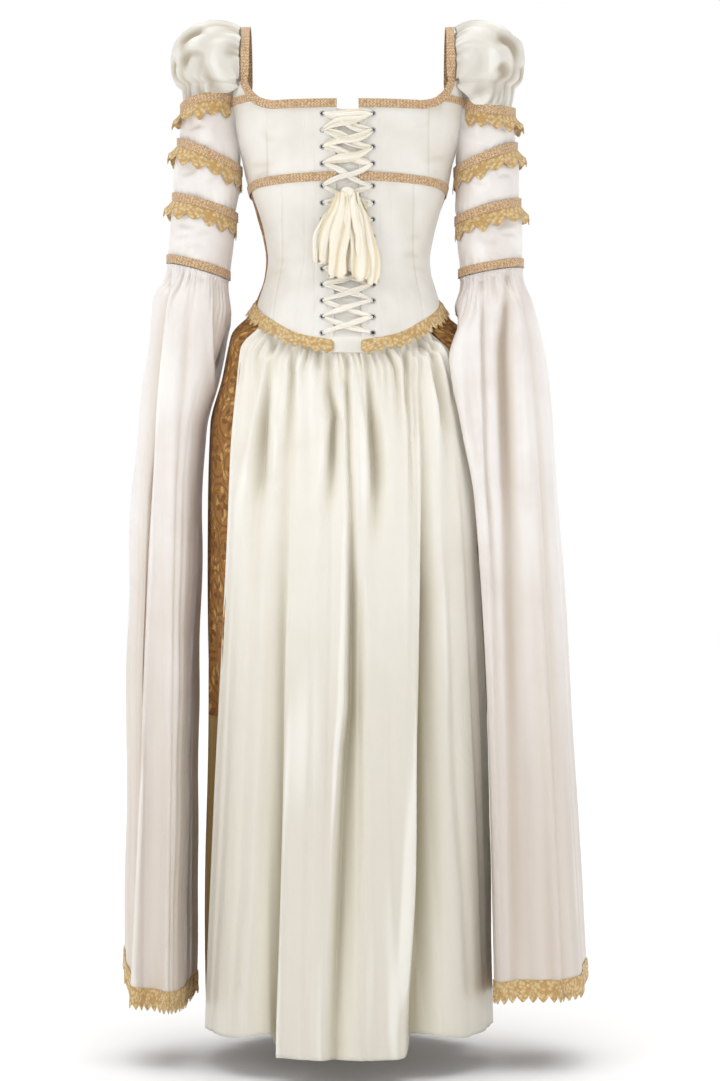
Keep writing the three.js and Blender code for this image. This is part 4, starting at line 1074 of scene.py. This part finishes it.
def arm_laces():
    for name, side in SIDES.items():
        for number, level in enumerate(ARM_BANDS[name], 1):
            short = number == 1
            repeats = 11 if short else 14
            columns = repeats * 14 + short
            share = np.linspace(0, repeats, columns, endpoint=short) + (0 if short else 0.5)
            degrees = mix(-142, 142, share / repeats) if short else (share - 0.5) / repeats * 360
            middle = around(level, degrees)
            drop = scallops(share, 13.5, 24 + 3 * np.sin(share * 2.4 + side + number), point=0.65)
            down = np.linspace(0, 1, 15)[:, None]
            z = middle - BRAID_WIDTH / 2 + 1.5 - down * drop
            base = sleeve_point(name, degrees + 0 * z, z)
            outward = ((1 + np.cos(np.radians(degrees))) / 2) ** 3
            flare = 11 * (0.14 + 0.86 * outward) * down ** 1.2
            relief = lace_relief(share, down + 0 * z) - flare - 0.9 - short * 0.6
            uv = np.stack(np.broadcast_arrays(degrees * 0.78, z - middle), -1)
            if not short:
                uv = np.concatenate([uv, uv[:, :1] + [281, 0]], axis=1)
            cloth(f"arm lace {number} {name}", base, relief, LACE, "gold_lace",
                  [f"arm_band_{number}_{name}"], (side * SLEEVE_X, 0), closed=not short, thick=0.8,
                  turn=1, uv=uv)
            degrees = np.linspace(-160 if short else 0, 160 if short else 360, 150)
            places = sleeve_point(name, degrees, around(level, degrees))
            strip(f"arm braid {number} {name}", places, level_from(side * SLEEVE_X, places), BRAID_WIDTH,
                  lambda run, share: ridges(run, share) + 0.6 * short, BRAID, "gold_lace", [], 13)


def bell_lace(name, side):
    repeats = 52
    share = np.arange(repeats * 10) / 10
    degrees = share / repeats * 360
    down = np.linspace(0, 1, 16)[:, None]
    t = 0.986 + 0.014 * np.minimum(down / 0.4, 1) + 0 * degrees
    base = bell_point(name, degrees + 0 * t, t)
    relief = bell_relief(name, side, degrees + 0 * t, t, base) - 1.5
    drop = scallops(share, 8, 17, 2)
    base[..., 2] -= np.maximum(down - 0.4, 0) / 0.6 * drop
    relief = relief + lace_relief(share, down + 0 * degrees)
    uv = np.stack(np.broadcast_arrays(share * 14, base[..., 2] - base[:1, :, 2]), -1)
    uv = np.concatenate([uv, uv[:, :1] + [repeats * 14, 0]], axis=1)
    cloth(f"bell lace {name}", base, relief, LACE, "gold_lace", [f"bell_lace_{name}"], (side * BELL_X, 0),
          closed=True, thick=0.9, turn=1, uv=uv)


def eyelet_place(side, row, lift):
    z = EYELET_ROWS[row]
    degrees = side * degrees_at(EYELET_X, BODICE.side(z))
    place, face = on_bodice(np.array([degrees]), np.array([float(z)]))
    return place[0] + face[0] * lift, face[0]


def eyelets():
    turn = np.radians(np.arange(0, 360, 15))
    profile = np.array([(2.2, -0.6), (2.3, 0.5), (2.7, 1.3), (3.3, 1.5), (3.9, 1.1), (4.2, 0.3), (4.2, -0.6)])
    for name, side in SIDES.items():
        for row in range(14):
            centre, face = eyelet_place(side, row, 0.4)
            right = unit(np.cross([0, 0, 1], face))
            up = np.cross(face, right)
            ring = np.cos(turn)[:, None] * right + np.sin(turn)[:, None] * up
            points = centre + profile[:, :1, None] * ring[None] + profile[:, 1:, None] * face
            uv = np.zeros((len(profile), len(turn) + 1, 2))
            build(f"eyelet {name} {row + 1:02d}", points, uv, True, True, NICKEL, "nickel",
                  [f"eyelet_{name}_{row + 1:02d}"])
            # A dark disc just inside each ring: painted shade standing in for the hole
            inner = centre + np.array([0.05, 2.4])[:, None, None] * ring[None] + face * 0.35
            build(f"eyelet hole {name} {row + 1:02d}", inner, uv[:2], True, True, HOLE_SHADE, "nickel", [])


def row_of(number):
    return (number + 1) // 2


def lacing():
    """The ribbon between the eyelets: a level bar at the top and crossed runs below it."""
    runs = [((-1, 0), (1, 0), 0.6)]
    for row in range(13):
        runs += [((-1, row), (1, row + 1), 0.0), ((1, row), (-1, row + 1), 1.2)]
    parts = []
    for number, (start, stop, level) in enumerate(runs):
        t = np.linspace(0, 1, 34)
        (a, face_a), (b, face_b) = eyelet_place(*start, 0), eyelet_place(*stop, 0)
        faces = mix(face_a, face_b, t[:, None])
        hump = 3.4 + level + 0.9 * np.sin(t * np.pi) - 3.6 * (1 - ease(np.minimum(t, 1 - t) / 0.09))
        places = mix(a, b, t[:, None]) + faces * hump[:, None]
        bow = np.sin(number * 2.3) * 2.2
        places[:, 2] -= (1.4 + bow) * np.sin(t * np.pi)
        bow = 2.4 * np.sign(a[0]) * np.sign(b[2] - a[2] + 0.1) * (row_of(number) < 5)
        places[:, 2] += bow * np.sin(t * 2 * np.pi)
        broad = 9.0 if row_of(number) < 4 else 5.0
        width = 3.0 + broad * np.sin(t * np.pi) ** 0.55
        width = width * (1 + 0.16 * np.sin(number * 1.7 + t * 7))

        def pleats(run, share, n=number, broad=broad):
            return 0.08 * broad * (np.sin(share * 7 + n + run * 0.05) + 0.5 * np.cos(share * 15 + n * 2))

        parts.append(strip(f"laced ribbon {number:02d}", places, faces, width, pleats,
                           LACING, "ribbon", ["lacing"] if not number else [], 12, 0.35))
    return join(parts)


def join(parts):
    """One object from several."""
    first = parts[0]
    with bpy.context.temp_override(active_object=first, selected_editable_objects=parts):
        bpy.ops.object.join()
    return first


def bow():
    def back_y(z):
        return bodice_point(0, z)[..., 1] - 6.9

    def hang(top, low, length, shares, depths, sway=0.0):
        shares, depths = np.array(shares), np.array(depths)
        z = -250 - length * shares
        x = mix(top, low, ease(shares / 0.7)) + sway * np.sin(shares * 5)
        return np.stack([x, back_y(z) - depths, z], -1)

    def ribbon(name, places, width, seed, fold_at=0.5, nodes=()):
        fine = resample(places, 2.0)
        along = np.gradient(fine, axis=0)
        faces = np.cross(along, np.broadcast_to([1.0, 0, 0], along.shape))
        t = np.linspace(0, 1, len(fine))
        wide = width * (0.42 + 0.58 * ease(np.minimum(t, 1.1 - t) / 0.16))
        wide = wide * (1 - 0.3 * np.exp(-((t - fold_at) / 0.02) ** 2)) * (1 + 0.1 * np.sin(t * 23 + seed))

        def pleats(run, share):
            wave = 1.1 * np.sin(share * 9 + seed + run * 0.03)
            wave += 0.5 * np.sin(share * 19 + seed * 2.2 + run * 0.07)
            return wave * width / 22 - 2.2 * share ** 2

        return strip(name, fine, faces, wide, pleats, RIBBON, "ribbon", nodes, 19, 0.4)

    # Each loop: x at the knot and at its foot, length, width, lift off the bodice, and seed
    loops = [(-11, -28, 98, 24, 2.4, 1.0), (-6, -13, 118, 26, 5.6, 2.1), (1, 3, 108, 25, 1.0, 3.3),
             (5, 17, 122, 25, 4.2, 4.4), (11, 33, 127, 22, 0.4, 5.2)]
    front = ([0, 0.2, 0.5, 0.8, 0.97], [6, 10, 11, 10, 7.5])
    behind = ([1, 0.95, 0.7, 0.35, 0.08], [5, 1.5, 1.2, 1.2, 2.5])
    parts = []
    for number, (top, low, length, width, lift, seed) in enumerate(loops):
        shares, depths = front[0] + behind[0], [d + lift for d in front[1]] + behind[1]
        places = hang(top, low, length, shares, depths, 1.5 * np.sin(seed))
        nodes = [] if number else ["bow"]
        parts.append(ribbon(f"bow loop {number + 1}", places, width, seed, nodes=nodes))
    tails = [(-10, -47, 96, 6, 9), (8, 15, 88, 11, 18)]
    for number, (top, low, length, width, depth) in enumerate(tails):
        places = hang(top, low, length, [0, 0.15, 0.4, 0.7, 1], [7, depth - 3, depth, depth, depth - 2], -2.5)
        parts.append(ribbon(f"ribbon end {number + 1}", places, width, 6.1 + number, 2))
    a, t = np.meshgrid(np.linspace(0, 2 * np.pi, 41)[:-1], np.linspace(0.04, 0.96, 22))
    swell = np.sin(t * np.pi) ** 0.8
    pleat = 1 + 0.12 * np.sin(a * 5 + t * 5)
    knot = np.stack([-9 * np.cos(t * np.pi), back_y(-250) - 6.7 - 5 * swell * np.sin(a) * pleat,
                     -250 + 7 * swell * np.cos(a) * pleat], -1)
    uv = np.stack(np.broadcast_arrays(np.arange(41) * 1.1, np.arange(22)[:, None] * 1.0), -1)
    parts.append(build("bow knot", knot, uv, True, False, RIBBON, "ribbon", []))
    return join(parts)


bodice()
skirt()
sleeves()
braids()
waist_lace()
arm_laces()
eyelets()
lacing()
bow()

# The cut of each piece in metres: width, length, how it is held, and its area where it isn't a rectangle.
# The sizes were chosen to agree with the built pieces and don't come from a pattern.
CUTS = {
    "bodice-back-upper-left": (0.175, 0.16, "stretched", 0.024),
    "bodice-back-upper-right": (0.175, 0.16, "stretched", 0.024),
    "bodice-back-lower-left": (0.16, 0.245, "stretched", 0.0325),
    "bodice-back-lower-right": (0.18, 0.245, "stretched", 0.036),
    "bodice-front-upper": (0.45, 0.16, "stretched", 0.058),
    "bodice-front-lower": (0.46, 0.205, "stretched", 0.078),
    "modesty-panel": (0.078, 0.342, "stretched"),
    "skirt-back": (0.75, 1.02, "gathered", 0.57),
    "skirt-front": (0.85, 0.6, "gathered", 0.455),
    "skirt-front-lower": (0.88, 0.44, "hung", 0.375),
    "puff-left": (0.32, 0.2, "gathered", 0.039),
    "puff-right": (0.32, 0.21, "gathered", 0.042),
    "upper-sleeve-left": (0.31, 0.27, "hung", 0.074),
    "upper-sleeve-right": (0.31, 0.27, "hung", 0.071),
    "bell-sleeve-left": (0.62, 1.04, "gathered", 0.49),
    "bell-sleeve-right": (0.7, 1.02, "gathered", 0.56),
    "neck-braid": (0.0125, 1.18, "stretched"),
    "underbust-braid": (0.0125, 0.8, "stretched"),
    "waist-lace": (0.024, 0.95, "stretched", 0.0195),
    "laced-ribbon-00": (0.0105, 2.05, "stretched"),
    "bow-loop-1": (0.025, 1.3, "hung"),
}
for side in SIDES:
    CUTS[f"shoulder-braid-{side}"] = (0.0105, 0.055, "stretched")
    CUTS[f"elbow-braid-{side}"] = (0.0125, 0.32, "stretched")
    CUTS[f"bell-lace-{side}"] = (0.034, 0.76, "hung", 0.0205)
    for number in (1, 2, 3):
        CUTS[f"arm-braid-{number}-{side}"] = (0.0125, 0.27 if number == 1 else 0.33, "stretched")
        CUTS[f"arm-lace-{number}-{side}"] = (0.027, 0.27, "hung", 0.0058) if number == 1 else \
            (0.027, 0.38, "hung", 0.0081)
for name, (width, length, held, *area) in CUTS.items():
    area[0] if area else None

# Pale studio: floor under the hem, even white surroundings and two large soft lights
floor = bpy.data.meshes.new("floor")
floor.from_pydata([(-9, -5, -1.47), (9, -5, -1.47), (9, 12, -1.47), (-9, 12, -1.47)], [], [(0, 1, 2, 3)])
ground = bpy.data.objects.new("floor", floor)
scene.collection.objects.link(ground)
floor.materials.append(Paint("pale floor", {"Base Color": (0.95, 0.95, 0.95, 1), "Roughness": 0.9}).material)

sky = Paint("studio", {"Color": (1, 1, 1, 1)}, bpy.data.worlds, "Background")
toward = sky.node("ShaderNodeTexCoord", {}, {}, "Generated")
height = sky.node("ShaderNodeSeparateXYZ", {}, {0: toward}, 2).size()
sky.feed("Strength", height.step(0.24, 0.42, 1.0, 0.34) + height.step(0.42, 0.78, 0.0, 0.06)
         + height.step(0.78, 0.93, 0.0, 2.6))
scene.world = sky.material
for name, place, turn, size, power in (
        ("key", (-2.7, -2.2, 0.7), (70, 0, -51), 1.5, 19), ("fill", (2.8, -2.2, 0.2), (80, 0, 52), 2.2, 9)):
    light = bpy.data.lights.new(name, "AREA")
    light.energy = power
    light.size = size
    lamp = bpy.data.objects.new(name, light)
    lamp.location = place
    lamp.rotation_euler = np.radians(turn)
    scene.collection.objects.link(lamp)
scene.view_settings.view_transform = "Standard"
